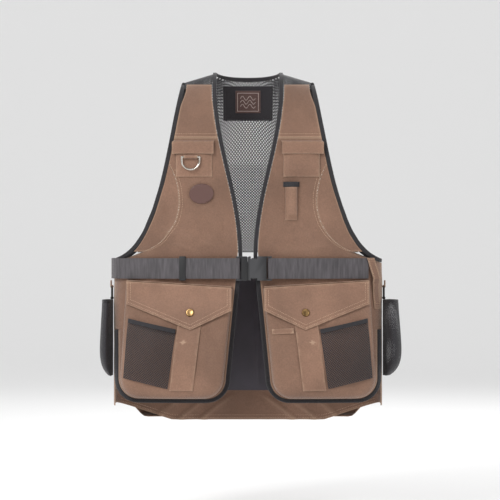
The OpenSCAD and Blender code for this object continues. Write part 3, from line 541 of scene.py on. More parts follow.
corner_rows = panel_low + (corner_r - bind_w) * (1 - np.sin(np.linspace(0, np.pi / 2, 16)))
arm_foot = -arm_drop - bind_w - curve_gap
panel_rows = np.concatenate([rows_between(-yoke_drop, -arm_drop + 0.013),
                             rows_between(arm_foot, -vent_drop + 0.0018),
                             rows_between(-vent_drop + 0.0008, corner_rows[0]), corner_rows[1:]])
underarm_rows = rows_between(-0.176, -arm_drop + 0.013)
side_name = {1: "l", -1: "r"}
for side in (1, -1):
    s = side_name[side]
    column = across_panel(panel_in, panel_out, side)
    panel = cloth_piece(f"front_{s}", f"front_panel_{s}", np.linspace(0, 1, 84), panel_rows,
                        lambda u, z: skin(column(u, z), z, -1, cloth_t), "vest", canvas)
    under = across_panel(lambda z: np.minimum(curve_x(z) + 0.0003, arm_x(z) - 0.0005), arm_x, side)
    gusset = cloth_piece(f"underarm_{s}", f"underarm_panel_{s}", np.linspace(0, 1, 24), underarm_rows,
                         lambda u, z: skin(under(u, z), z, -1, cloth_t), "vest", canvas)

    def yoke_place(u, v, side=side):
        t = u if side > 0 else 1 - u
        top_x = mix(neck_half + bind_w + 0.002, shoulder_half - bind_w - 0.002, t)
        top_z = ridge(top_x) - mix(0.024, 0.008, t)
        z = mix(top_z, -yoke_drop + 0.0003, v)
        low_x = mix(panel_in(z), arm_x(z), t)
        return skin(side * mix(top_x, low_x, ease(v * 2.2)), z, -1, cloth_t)

    yoke = cloth_piece(f"yoke_piece_{s}", f"yoke_{s}", np.linspace(0, 1, 30), np.linspace(0, 1, 40),
                       yoke_place,
                       "vest", canvas)
    edge_in = lambda z: panel_in(z) + 0.001
    seam = [[side * edge_in(z), z] for z in (-0.1235, )] + [[side * (arm_x(-0.1235) - 0.001), -0.1235]]
    seam_two = [[side * edge_in(-0.1185), -0.1185], [side * (arm_x(-0.1185) - 0.001), -0.1185]]
    felled = []
    for inset in (0.0015, 0.0065):
        zs = rows_between(-0.172 - inset * 2, -0.341, step=0.006)
        felled.append([[side * (min(curve_x(z), arm_x(z)) - inset), z] for z in zs])
    sew(f"front_seams_{s}", front_at(cloth_t), [seam, seam_two, *felled], "vest", tan_thread)

# ---- Black bindings ----
# Woven tape folded over every raw edge: one runs up both fronts and round the neck, and one closes each
# armhole. It is laid as a rounded fold along the edge, with a slight dip near its inner side where the real
# tape is sewn through.
# The fold seen from its end: distance from the edge into the cloth, and height over the cloth's middle
fold_shape = np.array([(7.5, 0.2), (7.2, 1.2), (6.4, 1.5), (5.7, 1.25), (5.0, 1.5), (3.0, 1.65), (1.4, 1.55),
                       (0.35, 0.95), (0, 0), (0.35, -0.95), (1.4, -1.5), (4.0, -1.6), (7.2, -1.1),
                       (7.5, 0.2)]) / 1000


def neck_z(x):
    return ridge_z * np.minimum(1, np.abs(x) / neck_half) ** 2.5


def edge_point(path, d, h):
    """Point of a binding at distance d from the cloth's edge and height h over its middle."""
    x, z, nx, nz, side = path
    front = skin(x + nx * d, z + nz * d, -1, cloth_t / 2 + h)
    back = skin(x + nx * d, z + nz * d, 1, cloth_t / 2 + h)
    return np.where((side < 0)[..., None], front, back)


def close_tube(piece, merge=0.00002):
    """Joins the long edges of a rolled sheet, closes its ends and turns its faces outwards."""
    select_only(piece)
    bpy.ops.object.mode_set(mode="EDIT")
    bpy.ops.mesh.select_all(action="SELECT")
    bpy.ops.mesh.remove_doubles(threshold=merge)
    bpy.ops.mesh.select_all(action="SELECT")
    bpy.ops.mesh.fill_holes(sides=0)
    bpy.ops.mesh.select_all(action="SELECT")
    bpy.ops.mesh.normals_make_consistent(inside=False)
    bpy.ops.object.mode_set(mode="OBJECT")
    bpy.ops.object.shade_smooth_by_angle(angle=math.radians(55))


def binding_tape(name, node, stations):
    """Tape along stations of x, z, direction into the cloth and side."""
    path = run_of(stations, 330)
    at = np.arange(len(path))

    def place(u, v):
        rows = [path[v.astype(int), i] for i in range(5)]
        shape = fold_shape[np.rint(u).astype(int)]
        crimp = 1 + 0.05 * np.sin(v * 2.1)
        return edge_point(rows, shape[:, 0], shape[:, 1] * crimp)

    piece = lay_sheet(name, np.arange(len(fold_shape)), at, place)
    close_tube(piece)
    finish_off(piece, black_tape, "vest", node)
    return piece


def woven(name, base, pitch_u, pitch_v, depth, roughness=0.8, sheen=0.15):
    """Dense woven tape or cloth: a plain weave with a little dust in it."""
    made, nodes, links, shader = finish_surface(name, base, roughness, sheen=sheen)
    shader.inputs["Specular IOR Level"].default_value = 0.35
    dark = tuple(c * 0.7 for c in base)
    light = tuple(min(c * 1.5 + 0.006, 1) for c in base)
    speckle = shade_between(nodes, links, noise_of(nodes, links, 700.0, 3.0), 0.3, 0.75, dark, light)
    links.new(speckle, shader.inputs["Base Color"])
    bump(nodes, links, shader, weave_of(nodes, links, pitch_u, pitch_v), depth)
    return made


black_tape = woven("black_tape", srgb(33, 31, 34), 0.0012, 0.0016, 0.00025)
hem_low = -hem_drop + corner_r
outer_turn = [[seam_x - corner_r + corner_r * math.cos(a), hem_low + corner_r * math.sin(a),
               -math.cos(a), -math.sin(a), -1] for a in np.linspace(0, -math.pi / 2, 12)]
inner_x = float(gap_x(hem_low)) + corner_r
inner_turn = [[inner_x + corner_r * math.cos(a), hem_low + corner_r * math.sin(a),
               -math.cos(a), -math.sin(a), -1] for a in np.linspace(-math.pi / 2, -math.pi, 12)]
front_run = [[float(gap_x(z)), z, 1, 0, -1] for z in rows_between(hem_low, 0, step=0.010)[1:]]
neck_run = [[neck_half * math.cos(a), float(neck_z(neck_half * math.cos(a))), math.cos(a), -math.sin(a), 1]
            for a in np.linspace(0.12, math.pi / 2, 14)]
edge_half = ([[seam_x, -vent_drop, -1, 0, -1]] + outer_turn + inner_turn + front_run
             + [[neck_half, ridge_z, 1, 0, -1], [neck_half, ridge_z, 1, 0, 1]] + neck_run)
edge_other = [[-x, z, -nx, nz, side] for x, z, nx, nz, side in edge_half[-2::-1]]
binding_tape("front_binding", "front_edge_binding", edge_half + edge_other)
for side in (1, -1):
    ts = np.linspace(0, 1, 40)
    down = [[p[0], p[1], w[1], -w[0]] for p, w in zip(arm_point(ts), arm_way(ts))]
    under_front = [[float(side_x(k)), -arm_drop, 0, -1] for k in np.linspace(0.9, 0, 8)]
    ring = ([[*q, -1] for q in down + under_front] + [[*q, 1] for q in under_front[-2::-1]]
            + [[*q, 1] for q in down[:0:-1]])
    ring = [[side * x, z, side * nx, nz, face] for x, z, nx, nz, face in ring]
    binding_tape(f"arm_binding_{side_name[side]}", f"armhole_binding_{side_name[side]}", ring + ring[:1])

# ---- Mesh back and shoulders ----
# Warp-knitted black mesh makes the whole upper back and turns over the shoulders. It is one open net of
# diamond cells cut to the armholes and the neck, with its cut edge inside the bindings.


def open_net(piece, strand, thickness):
    """Turns the squares of a sheet into diamonds and opens each one, which leaves strands of that width."""
    select_only(piece)
    mesh = piece.data
    for edge in mesh.edges:
        edge.use_seam = True
    bpy.ops.object.mode_set(mode="EDIT")
    bpy.ops.mesh.select_mode(type="FACE")
    bpy.ops.mesh.select_all(action="SELECT")
    bpy.ops.mesh.poke()
    bpy.ops.mesh.select_all(action="DESELECT")
    bpy.ops.mesh.select_mode(type="EDGE")
    bpy.ops.object.mode_set(mode="OBJECT")
    uses = np.zeros(len(mesh.edges), int)
    loop_edges = np.empty(len(mesh.loops), np.int32)
    mesh.loops.foreach_get("edge_index", loop_edges)
    np.add.at(uses, loop_edges, 1)
    for edge, used in zip(mesh.edges, uses):
        edge.select = edge.use_seam and used > 1
    bpy.ops.object.mode_set(mode="EDIT")
    bpy.ops.mesh.dissolve_edges(use_verts=False)
    bpy.ops.mesh.select_mode(type="FACE")
    bpy.ops.mesh.select_all(action="SELECT")
    bpy.ops.mesh.inset(thickness=strand / 2, use_individual=True, use_boundary=True, use_even_offset=True)
    bpy.ops.mesh.delete(type="FACE")
    bpy.ops.mesh.select_all(action="SELECT")
    bpy.ops.mesh.mark_seam(clear=True)
    bpy.ops.object.mode_set(mode="OBJECT")
    add_thickness(piece, thickness)


def drop_faces(piece, outside):
    """Deletes the faces whose middle is outside."""
    select_only(piece)
    bpy.ops.object.mode_set(mode="EDIT")
    bpy.ops.mesh.select_mode(type="FACE")
    bpy.ops.mesh.select_all(action="DESELECT")
    bpy.ops.object.mode_set(mode="OBJECT")
    centre = np.array([p.center[:] for p in piece.data.polygons])
    for polygon, gone in zip(piece.data.polygons, outside(centre)):
        polygon.select = bool(gone)
    bpy.ops.object.mode_set(mode="EDIT")
    bpy.ops.mesh.delete(type="FACE")
    bpy.ops.object.mode_set(mode="OBJECT")


def knitted(name, base):
    """Black knitted yarn, a little shiny."""
    made, nodes, links, shader = finish_surface(name, base, 0.62, sheen=0.2)
    shader.inputs["Specular IOR Level"].default_value = 0.4
    yarn = noise_of(nodes, links, 1400.0, 2.0)
    light = tuple(c * 2.2 + 0.004 for c in base)
    links.new(shade_between(nodes, links, yarn, 0.35, 0.7, base, light), shader.inputs["Base Color"])
    bump(nodes, links, shader, yarn, 0.0003)
    return made


black_yarn = knitted("black_yarn", srgb(27, 25, 29))
mesh_cell = 0.0056
fine_x = np.linspace(0, half_w, 3000)
fine_y = body_depth(fine_x, np.full(3000, -0.25), 1, 0.0)
run_x = np.concatenate([[0], np.cumsum(np.hypot(np.diff(fine_x), np.diff(fine_y)))])
half_run = np.interp(float(arm_x(-arm_drop + 0.008)), fine_x, run_x) + 0.002
half_cells = int(half_run / mesh_cell)
lean = np.linspace(0, 1, 2000)
climb_run = np.concatenate([[0], np.cumsum(np.hypot(
    np.diff(back_b * (1 - lean ** 2.2) ** (1 / 2.2)), np.diff(lean) * (curve_drop - 0.006)))])
low_rows = int((arm_drop - 0.006 - curve_drop) / mesh_cell)
high_rows = int(climb_run[-1] / mesh_cell)


def back_mesh_place(u, v):
    """u and v count cells from the middle and from the height where the shoulders begin."""
    x = -np.sign(u) * np.interp(np.abs(u) * mesh_cell, run_x, fine_x)
    up = np.interp(v * mesh_cell, climb_run, lean)
    z = np.where(v > 0, -curve_drop + up * (ridge(x) + curve_drop), -curve_drop + v * mesh_cell)
    return skin(x, z, 1, 0.0011)


def beyond_back(c):
    top = np.where(np.abs(c[:, 0]) < neck_half + 0.004, neck_z(c[:, 0]) - 0.004, 1.0)
    return (np.abs(c[:, 0]) > arm_x(np.minimum(c[:, 2], -0.017)) + 0.003) | (c[:, 2] > top)


back_net = lay_sheet("back_net", np.arange(-half_cells, half_cells + 1),
                     np.arange(high_rows, -low_rows - 1, -1),
                     back_mesh_place)
drop_faces(back_net, beyond_back)
open_net(back_net, 0.0019, 0.0009)
finish_off(back_net, black_yarn, "vest", "back_mesh")
for side in (1, -1):
    s = side_name[side]

    def facing_place(u, v, side=side):
        t = u if side > 0 else 1 - u
        x = mix(neck_half + bind_w - 0.001, shoulder_half - bind_w + 0.001, t)
        return skin(side * x, ridge(x) - v * (mix(0.026, 0.010, t) - 0.001), -1, 0.0014)

    cap = lay_sheet(f"shoulder_net_{s}", np.linspace(0, 1, 15), np.linspace(0, 1, 6), facing_place)
    open_net(cap, 0.0009, 0.0004)
    finish_off(cap, black_yarn, "vest", f"shoulder_facing_{s}")

# ---- Lower back, lining and neck label ----
# One wide piece of canvas goes round from seam to seam below the armholes, with folded tucks along its
# hem and a dark coated lining inside. A plain patch and a woven label are sewn inside the neck.
lining_drop = 0.617
tail_len = 0.045
side_steps = np.linspace(0, 1, 9)
flat_steps = np.linspace(0, 1, 60)
round_x = np.concatenate([side_x(side_steps[::-1]), side_x(side_steps[1:]), seam_x * (1 - flat_steps[1:])])
round_side = np.concatenate([-np.ones(9), np.ones(len(round_x) - 9)])
round_x = np.concatenate([round_x, -round_x[-2::-1]])
round_side = np.concatenate([round_side, round_side[-2::-1]])


def tail_z(x):
    return -hem_drop - tail_len + np.maximum(0, np.abs(x) - 0.150) * 0.35


def tuck(x, z):
    """Folds pressed into the lower back, which lean outwards as they go down."""
    low = ease((-z - lining_drop - 0.002) / 0.020)
    slant = np.abs(x) + (z + 0.66) * 1.3
    folds = sum(np.exp(-((slant - c) / w) ** 2) for c, w in ((0.075, 0.006), (0.118, 0.005), (0.168, 0.007)))
    return low * (0.0035 * folds + 0.0008 * (1 + ripple(x, z, 0.05, 21)))


def lower_back_place(u, v):
    i = np.rint(u).astype(int)
    x, side = round_x[i], round_side[i]
    z = mix(arm_foot, tail_z(x), v)
    p = np.where((side < 0)[:, None], skin(x, z, -1, cloth_t), skin(x, z, 1, cloth_t))
    p[:, 1] -= tuck(x, z)
    return p


lower_back = cloth_piece("lower_back", "back_panel", np.arange(len(round_x)), np.linspace(0, 1, 90),
                         lower_back_place, "vest", canvas)
tail_rows = [[[x, float(tail_z(x)) + up] for x in np.linspace(0.250, -0.250, 60)] for up in (0.004, 0.009)]
sew("hem_thread", lambda x, z: skin(x, z, 1, cloth_t) - np.stack([0 * x, tuck(x, z), 0 * x], -1),
    tail_rows, "vest", tan_thread, outward=-1)
sew("hem_thread_inside", lambda x, z: skin(x, z, 1, 0) - np.stack([0 * x, tuck(x, z), 0 * x], -1),
    tail_rows, "vest", tan_thread)


def coated(name, base):
    """Coated lining cloth: smooth and slightly shiny."""
    made, nodes, links, shader = finish_surface(name, base, 0.48, sheen=0.1)
    light = tuple(c * 1.35 for c in base)
    links.new(shade_between(nodes, links, noise_of(nodes, links, 25.0), 0.35, 0.7, base, light),
              shader.inputs["Base Color"])
    bump(nodes, links, shader, weave_of(nodes, links, 0.0007, 0.0007), 0.00008)
    return made


lining_cloth = coated("lining_cloth", srgb(52, 47, 55))
lining_half = 0.226
lining_top = -arm_drop - bind_w


def lining_at(x, z):
    drape = 0.0009 * (1 + ripple(x, z * 0.3, 0.06, 5)) + 0.002 * np.exp(-((x - 0.019) / 0.003) ** 2)
    hang = ease((lining_top - z) / 0.05) * ease((z + lining_drop) / 0.05)
    p = skin(x, z, 1, -0.0003)
    p[..., 1] -= drape * hang
    return p


lining = cloth_piece("lining", "back_lining", np.linspace(lining_half, -lining_half, 120),
                     np.linspace(lining_top, -lining_drop, 70), lining_at, "vest", lining_cloth, t=0.0010)
black_cloth = woven("black_cloth", srgb(34, 31, 35), 0.0010, 0.0010, 0.00018)
patch_at = lambda x, z: skin(x, z, 1, -0.0025)
neck_piece = cloth_piece("neck_lining", "neck_patch", np.linspace(0.049, -0.049, 40),
                         np.linspace(-0.014, -0.082, 30), patch_at, "vest", black_cloth,
                         t=0.0012)
black_thread = finish_surface("black_thread", srgb(44, 41, 44), 0.6, sheen=0.2)[0]
inner_patch = lambda x, z: skin(x, z, 1, -0.0037)
sew("neck_thread", inner_patch, [[[0.046, -0.018], [0.046, -0.079], [-0.046, -0.079], [-0.046, -0.018]]],
    "vest", black_thread, pitch=0.0030)
satin = woven("label_satin", srgb(74, 50, 46), 0.0006, 0.0009, 0.0001, roughness=0.45, sheen=0.3)
label = cloth_piece("label", "neck_label", np.linspace(0.025, -0.025, 20), np.linspace(-0.022, -0.066, 20),
                    lambda x, z: skin(x, z, 1, -0.0041), "vest", satin, t=0.0010)
pale_thread = finish_surface("pale_thread", srgb(206, 192, 182), 0.5, sheen=0.2)[0]
label_face = lambda x, z: skin(x, z, 1, -0.0051)
frame_line = [[0.021, -0.026], [-0.021, -0.026], [-0.021, -0.062], [0.021, -0.062], [0.021, -0.026]]
wave = [[x, -0.044 + 0.004 * math.sin(x * 420)] for x in np.linspace(0.015, -0.015, 24)]
sew("label_thread", label_face, [frame_line, wave, [[x, z - 0.008] for x, z in wave],
    [[x, z + 0.008] for x, z in wave]], "vest", pale_thread, pitch=0.0018, size=0.9)

# ---- Belt ----
# Ribbed black webbing goes round the front, folded back on itself at both halves of a side-release
# buckle. A slider holds the loose end on the right and a canvas loop carries the belt on the left.
belt_drop = 0.374
web_w = 0.039
web_t = 0.0018
web_gap = 0.0004
flat_half = 0.060
slope_x = 0.150
belt_y = -neck_y - front_b - 0.0115
slope_y = belt_y + 0.007
belt_out = cloth_t + 0.004
meet_x = half_w - 0.058
meet_y = float(skin(meet_x, -belt_drop, -1, belt_out)[1])
bar_d = 0.005
male_bar = -0.019
female_bar = 0.042
loop_r = bar_d / 2 + web_gap + web_t / 2
fold_r = 0.150
fold_l = 0.082


def webbing_y(x):
    """y of the middle of the belt at x, out from the vest's middle."""
    if x < flat_half:
        return belt_y
    if x < slope_x:
        return mix(belt_y, slope_y, (x - flat_half) / (slope_x - flat_half))
    return float(mix(slope_y, meet_y, ease((x - slope_x) / (meet_x - slope_x))))


def folded_end(bar, end_x, way):
    """Path of the webbing from end_x round a bar and back, seen from above."""
    layer = (web_t + web_gap) / 2
    turn = [[bar - way * loop_r * math.cos(a), belt_y - loop_r * math.sin(a)]
            for a in np.linspace(math.pi / 2, -math.pi / 2, 15)]
    out_x = np.linspace(end_x, abs(bar) + 0.014, 24)
    front = [[way * x, webbing_y(x) - layer] for x in out_x]
    back = [[way * x, webbing_y(x) + layer] for x in out_x[::-1]]
    return front + turn + back


def outer_run(shares):
    """Path of the webbing from the side seam, at these shares of the way, to its folded end."""
    spots = [skin(mix(meet_x, seam_x, u), -belt_drop, -1, belt_out) for u in shares]
    near = [mix(slope_x, meet_x, i / 8) for i in range(7, 0, -1)]
    layer = (web_t + web_gap) / 2
    return [[p[0], p[1] - web_t / 2] for p in spots] + [[x, webbing_y(x) - layer] for x in near]


def webbing_material(name, base):
    """Woven nylon webbing: cross ribs along its length, a slight shine and paler dusty ribs."""
    made, nodes, links, shader = finish_surface(name, base, 0.5, sheen=0.15)
    shader.inputs["Specular IOR Level"].default_value = 0.55
    light = tuple(c * 2.3 + 0.012 for c in base)
    grain = noise_of(nodes, links, 260.0, 4.0, stretch=(1, 1, 0.12))
    links.new(shade_between(nodes, links, grain, 0.32, 0.74, base, light), shader.inputs["Base Color"])
    bump(nodes, links, shader, weave_of(nodes, links, 0.0017, 0.0016), 0.0003)
    return made


black_webbing = webbing_material("black_webbing", srgb(48, 44, 47))


def strap(name, node, path):
    """Webbing of real thickness along a path seen from above, with its cross ribs."""
    path = run_of(path, 1700)
    for _ in range(3):
        path[1:-1] = (path[:-2] + 2 * path[1:-1] + path[2:]) / 4
    way = np.gradient(path, axis=0)
    way = way / np.linalg.norm(way, axis=1, keepdims=True)

    def place(u, v):
        i = np.rint(v).astype(int)
        rib = 0.00009 * np.sin(i * 1.9)
        y = path[i, 1] - way[i, 0] * rib
        return np.stack([path[i, 0] + way[i, 1] * rib, y, -belt_drop + (u - 0.5) * web_w], -1)

    piece = lay_sheet(name, np.linspace(0, 1, 12), np.arange(len(path)), place)
    wall = piece.modifiers.new("thickness", "SOLIDIFY")
    wall.thickness = web_t
    wall.offset = 0
    apply_modifiers(piece)
    bpy.ops.object.shade_smooth_by_angle(angle=math.radians(50))
    piece.data.materials.append(black_webbing)
    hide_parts(node)
    return piece, float(np.linalg.norm(np.diff(path, axis=0), axis=1).sum())


behind = []
for k in (0.6, 0.45, 0.3, 0.15, 0):
    spot = skin(side_x(k), -belt_drop, 1, belt_out - k * 0.0033)
    behind.append([-spot[0], spot[1]])
beside = []
for k in (0.25, 0.5, 0.75):
    spot = skin(side_x(k), -belt_drop, -1, belt_out)
    beside.append([-spot[0], spot[1]])
far = [[-x, y] for x, y in outer_run([1, 0.92, 0.82, 0.7, 0.55, 0.4, 0.2, 0])]
strap_r, long_r = strap("belt_right", "belt_strap_r",
                        behind + beside + far + folded_end(male_bar, fold_r, -1))
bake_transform(strap_r)
strap_l, long_l = strap("belt_left", "belt_strap_l",
                        outer_run([0.45, 0.3, 0.15, 0]) + folded_end(female_bar, fold_l, 1))
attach(strap_l, "vest")


def moulded(name, base):
    """Moulded acetal: fine grain and rubbed edges."""
    made, nodes, links, shader = finish_surface(name, base, 0.34)
    pointed = nodes.new("ShaderNodeNewGeometry").outputs["Pointiness"]
    rubbed = tuple(c * 3 + 0.02 for c in base)
    links.new(shade_between(nodes, links, pointed, 0.52, 0.62, base, rubbed), shader.inputs["Base Color"])
    bump(nodes, links, shader, noise_of(nodes, links, 900.0, 2.0), 0.00008)
    return made


def metal(name, base, second_tone, roughness):
    """Plated metal with fine scratches and darker hollows."""
    made, nodes, links, shader = finish_surface(name, base, roughness, metallic=1.0)
    links.new(shade_between(nodes, links, noise_of(nodes, links, 160.0, 4.0), 0.35, 0.7, second_tone, base),
              shader.inputs["Base Color"])
    bump(nodes, links, shader, noise_of(nodes, links, 700.0, 3.0, stretch=(1, 1, 4)), 0.00006)
    return made


black_acetal = moulded("black_acetal", srgb(20, 20, 22))
brass_plate = metal("brass_plate", srgb(176, 142, 96), srgb(104, 82, 54), 0.34)
nickel_plate = metal("nickel_plate", srgb(226, 222, 216), srgb(168, 160, 150), 0.16)


def node_copy(name, node):
    """A copy of a CAD node's mesh, as a piece of its own."""
    piece = bpy.data.objects.new(name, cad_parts[node].data.copy())
    piece.data.name = name
    bpy.context.scene.collection.objects.link(piece)
    return piece


def finished_copy(name, node, body, material, edge):
    """A copy of a hard CAD node with its corners rounded by edge."""
    piece = node_copy(name, node)
    select_only(piece)
    bpy.ops.object.mode_set(mode="EDIT")
    bpy.ops.mesh.select_all(action="SELECT")
    bpy.ops.mesh.remove_doubles(threshold=0.00001)
    bpy.ops.mesh.select_all(action="SELECT")
    bpy.ops.mesh.dissolve_limited(angle_limit=math.radians(1))
    bpy.ops.object.mode_set(mode="OBJECT")
    if edge:
        turn = piece.modifiers.new("edge", "BEVEL")
        turn.limit_method = "ANGLE"
        turn.angle_limit = math.radians(30)
        turn.width = edge
        turn.segments = 3
        apply_modifiers(piece)
    bpy.ops.object.shade_smooth_by_angle(angle=math.radians(40))
    piece.data.materials.clear()
    finish_off(piece, material, body, node)
    return piece


for name, body, edge in (("buckle_male", "buckle", 0.0008), ("buckle_prongs", "buckle", 0.0008),
                         ("buckle_female", "vest", 0.0009), ("belt_slider", "slider", 0.0005)):
    finished_copy(f"{name}_finish", name, body, black_acetal, edge)


def drawn_between(stops, v):
    """Value along a short list of stops, at v from 0 to 1."""
    return np.interp(v, np.linspace(0, 1, len(stops)), stops)


loop_w = 0.013
loop_drop = [0.020, 0, -0.0195, -0.0285, -0.0495, -0.0775]
loop_in = [0.036, 0.030, 0.024, 0.0215, 0.019, 0.016]
loop_up = [0.006, 0.006, 0.006, 0.0022, 0.0003, 0.0003]


def loop_at(u, v):
    return skin(seam_x - drawn_between(loop_in, v) + u * loop_w, -belt_drop + drawn_between(loop_drop, v), -1,
                cloth_t + drawn_between(loop_up, v) + 0.0017)


loop = cloth_piece("loop_strip", "belt_loop", np.linspace(0, 1, 9), np.linspace(0, 1, 60), loop_at, "vest",
                   canvas, t=0.0014)
loop_tacks = [[[u, v] for u in (0.15, 0.85)] for v in (0.03, 0.06, 0.93, 0.96)]
sew("loop_thread", loop_at, loop_tacks + [[[0.15, 0.06], [0.15, 0.93]], [[0.85, 0.06], [0.85, 0.93]]], "vest",
    tan_thread, outward=-1)

# ---- Large pockets ----
# Bellows pockets stand out from the fronts, each with a net pouch low on its outer side.
pocket_cloth = 0.0013
pocket_top = -0.412
pocket_foot = -0.621
corner_round = 0.040
mouth_rise = 0.012
shallow = 0.022
deep = 0.044
foot_turn = 0.055
full_run = 0.115          # height over which a pocket fills out below its mouth
chord_x = 0.040
chord_y = -0.1542
chord_rise = 0.0253 / 0.195
mouth_w = 0.2
pouch_top_x, pouch_top_z = (0.136, 0.227), (-0.489, -0.469)
pouch_foot_x, pouch_foot_z = (0.152, 0.236), (-0.601, -0.581)
pouch_swell = 0.011
net_strand = 0.0010
net_t = 0.0006


def pocket_edges(z):
    """Inner and outer edge of a pocket at a height, on the left side."""
    inset = rounding(z, pocket_foot, corner_round)
    inner = gap_x(np.maximum(z, -0.581)) + 0.0125 + inset
    return inner, mix(0.232, seam_x - 0.0095, clamp((pocket_top - z) / 0.218)) - inset


def pocket_front(x, z):
    """y of the pocket's cloth at x and z, on the left side."""
    inner, outer = pocket_edges(z)
    w = np.clip(2 * (x - inner) / (outer - inner) - 1, -1, 1)
    body = body_depth(x, z, -1, 0.0025) - neck_y
    filled = clamp((pocket_top - z) / full_run)
    crown = 0.004 * (1 - w * w) * filled
    face = chord_y + (x - chord_x) * chord_rise - mix(shallow, deep, ease(filled)) - crown
    q = clamp((pocket_foot + foot_turn - z) / foot_turn)
    return body + (face - body) * (1 - np.abs(w) ** 8) ** 0.125 * (1 - q ** 5) ** 0.2


def pocket_place(side):
    """Places on a large pocket, with its inner and outer walls turned back to the front."""
    def place(u, v):
        t = u if side > 0 else 1 - u
        z0 = mix(pocket_top, pocket_foot, v)
        inner, outer = pocket_edges(z0)
        x = mix(inner, outer, t)
        z = z0 + mouth_rise * (x - chord_x) / mouth_w * (1 - v) ** 2
        soft = 0.0012 * np.sin(x * 95 + 2 * np.sin(z * 38)) * np.sin(np.pi * t) * np.sin(np.pi * v)
        return np.stack([side * x, pocket_front(x, z0) + soft, z], -1)
    return place


def pouch_place(side):
    """Places on a net pouch, which swells out from its pocket."""
    def place(u, v):
        t = u if side > 0 else 1 - u
        x = mix(mix(*pouch_top_x, t), mix(*pouch_foot_x, t), v)
        z = mix(mix(*pouch_top_z, t), mix(*pouch_foot_z, t), v)
        swell = 0.0016 + pouch_swell * np.sin(np.pi * np.clip(t, 0, 1)) ** 0.7 * (1 - 0.75 * v ** 4)
        return np.stack([side * x, pocket_front(x, z) - swell, z], -1)
    return place


for side in (1, -1):
    s = side_name[side]
    ends = 0.5 - 0.5 * np.cos(np.linspace(0, np.pi, 70))
    sack = cloth_piece(f"pocket_sack_{s}", f"pocket_{s}", ends, ends, pocket_place(side), "vest", canvas,
                       t=pocket_cloth)
    pouch = lay_sheet(f"pouch_net_{s}", np.linspace(0, 1, 21), np.linspace(0, 1, 25), pouch_place(side))
    open_net(pouch, net_strand, net_t)
    finish_off(pouch, black_yarn, "vest", f"net_pouch_{s}")

# ---- Net bags ----
# Black net bags hang at the sides. The net is open at the top and narrows at the foot.
bag_x = 0.2609
bag_y = -0.08302
bag_top = -0.4405
bag_h = 0.14
bag_half = 0.052


def bag_place(side, fill):
    """Places on the net of one side bag, which is fill wide and stands round bag_x."""
    def place(u, v):
        a = math.pi * (1 + 2 * u)
        f = 1 - 0.3 * (np.abs(v - 0.45) / 0.55) ** 3
        low = (1 - (0.97 * v) ** 9) ** 0.5
        rx = fill / 2 * mix(0.75, f, v) * low
        return np.stack([side * (bag_x + rx) + rx * np.cos(a), bag_y + bag_half * f * low * np.sin(a),
                         bag_top - bag_h * v], -1)
    return place


for side, fill in ((1, 0.040), (-1, 0.028)):
    s = side_name[side]
    net = lay_sheet(f"side_net_{s}", np.linspace(0, 1, 53), np.linspace(0, 1, 31), bag_place(side, fill))
    open_net(net, net_strand, net_t)
    finish_off(net, black_yarn, f"bag_{s}", f"net_bag_{s}")

# ---- Flaps, chest pockets, game bag and trim ----
# Each is the design's own shape cut into a grid. The flaps, chest pockets and game bag then get shallow
# folds. The trim stays flat, and the studs, hooks and ring are copies with rounded corners.


def gridded_copy(name, node, body, material, step, fold, calm=None):
    """The design's shape cut by planes a step apart, with folds this deep, smoothed between two heights."""
    piece = node_copy(name, node)
    shape = bmesh.new()
    shape.from_mesh(piece.data)
    bmesh.ops.remove_doubles(shape, verts=shape.verts[:], dist=0.00001)
    for axis in (0, 2):
        spread = [p.co[axis] for p in shape.verts]
        for at in np.arange(min(spread) + step / 2, max(spread), step):
            spot, way = [0, 0, 0], [0, 0, 0]
            spot[axis], way[axis] = float(at), 1
            bmesh.ops.bisect_plane(shape, geom=shape.verts[:] + shape.edges[:] + shape.faces[:],
                                   plane_co=spot, plane_no=way)
    for p in shape.verts:
        p.co.y += fold * math.sin(p.co.x * 110 + 1.7 * math.sin(p.co.z * 41)) * math.cos(p.co.z * 57)
    if calm:
        crease = [p for p in shape.verts if calm[0] < p.co.z < calm[1] and abs(p.co.x) < 0.205]
        for _ in range(14):
            bmesh.ops.smooth_vert(shape, verts=crease, factor=0.5, use_axis_y=True)
    laid = shape.loops.layers.uv.verify()
    for face in shape.faces:
        for corner in face.loops:
            corner[laid].uv = (corner.vert.co.x, corner.vert.co.z)
    shape.to_mesh(piece.data)
    shape.free()
    select_only(piece)
    bpy.ops.object.shade_smooth_by_angle(angle=math.radians(50))
    piece.data.materials.clear()
    finish_off(piece, material, body, node)
    return piece


def on_front(piece):
    """Point on the front of a piece, straight ahead of x and z."""
    def at(x, z):
        xs, zs = np.broadcast_arrays(x, z)
        spots = [piece.ray_cast((float(a), -1, float(b)), (0, 1, 0))[1][:]
                 for a, b in zip(xs.ravel(), zs.ravel())]
        return np.array(spots).reshape(xs.shape + (3,))
    return at


flap_point = 0.109
flap_in = 0.031
flap_out = 0.231
flap_side = 0.043
flap_deep = 0.084
hinge_z = -0.409


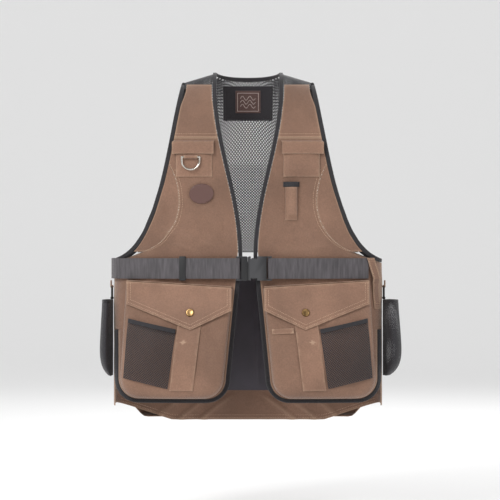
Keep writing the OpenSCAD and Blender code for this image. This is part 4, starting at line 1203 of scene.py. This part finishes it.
def flap_rows(side):
    """Two rows of stitches inside a pocket flap's edge, down the sides and along the pointed foot."""
    rows = []
    for inset in (0.003, 0.008):
        near, far = flap_in + inset, flap_out - inset
        stops = []
        for x, drop in ((near, 0.004), (near, flap_side - inset), (flap_point, flap_deep - inset * 1.12),
                        (far, flap_side - inset), (far, 0.004)):
            stops.append([side * x, hinge_z + mouth_rise / mouth_w * (x - chord_x) - drop])
        rows.append(stops)
    return rows


brown_hide, hide_nodes, hide_links, hide_shader = finish_surface("brown_hide", srgb(84, 56, 50), 0.5)
bump(hide_nodes, hide_links, hide_shader, noise_of(hide_nodes, hide_links, 800.0, 4.0), 0.0003)
for s in ("l", "r"):
    flap = gridded_copy(f"flap_cloth_{s}", f"pocket_flap_{s}", f"flap_{s}", canvas, 0.005, 0.0006)
    sew(f"flap_thread_{s}", on_front(flap), flap_rows(1 if s == "l" else -1), f"flap_{s}", tan_thread,
        outward=-1)
    lid = gridded_copy(f"chest_lid_{s}", f"chest_flap_{s}", f"chest_flap_{s}", canvas, 0.004,
                       0.0003)
    sack = gridded_copy(f"chest_sack_{s}", f"chest_pocket_{s}", "vest", canvas, 0.004, 0.0004)
    gridded_copy(f"hinge_cloth_{s}", f"pocket_hinge_strip_{s}", "vest", canvas, 0.006, 0)
    finished_copy(f"snap_cap_{s}", f"snap_caps_{s}", f"flap_{s}", brass_plate, 0.0003)
    finished_copy(f"bag_hook_{s}_finish", f"bag_hook_{s}", f"bag_{s}", black_acetal, 0.0004)
    gridded_copy(f"net_rim_tape_{s}", f"net_rim_{s}", f"bag_{s}", black_tape, 0.005, 0)
bag = gridded_copy("game_sack", "game_bag", "vest", canvas, 0.009, 0.0006, calm=(-0.56, -0.44))
for node, material, slot in (("game_bag_binding", black_tape, "binding"), ("pocket_strips", canvas, "cotton"),
                             ("net_pouch_bindings", black_tape, "binding"), ("pocket_welt", canvas, "cotton"),
                             ("d_ring_tab", canvas, "cotton"), ("pen_holder", canvas, "cotton"),
                             ("pen_elastic", black_tape, "binding"), ("bag_tabs", canvas, "cotton"),
                             ("leather_patch", brown_hide, "leather")):
    gridded_copy(f"{node}_finish", node, "vest", material, 0.004, 0)
finished_copy("snap_stud_finish", "snap_studs", "vest", brass_plate, 0.0002)
finished_copy("ring_finish", "d_ring", "ring", nickel_plate, 0.0004)
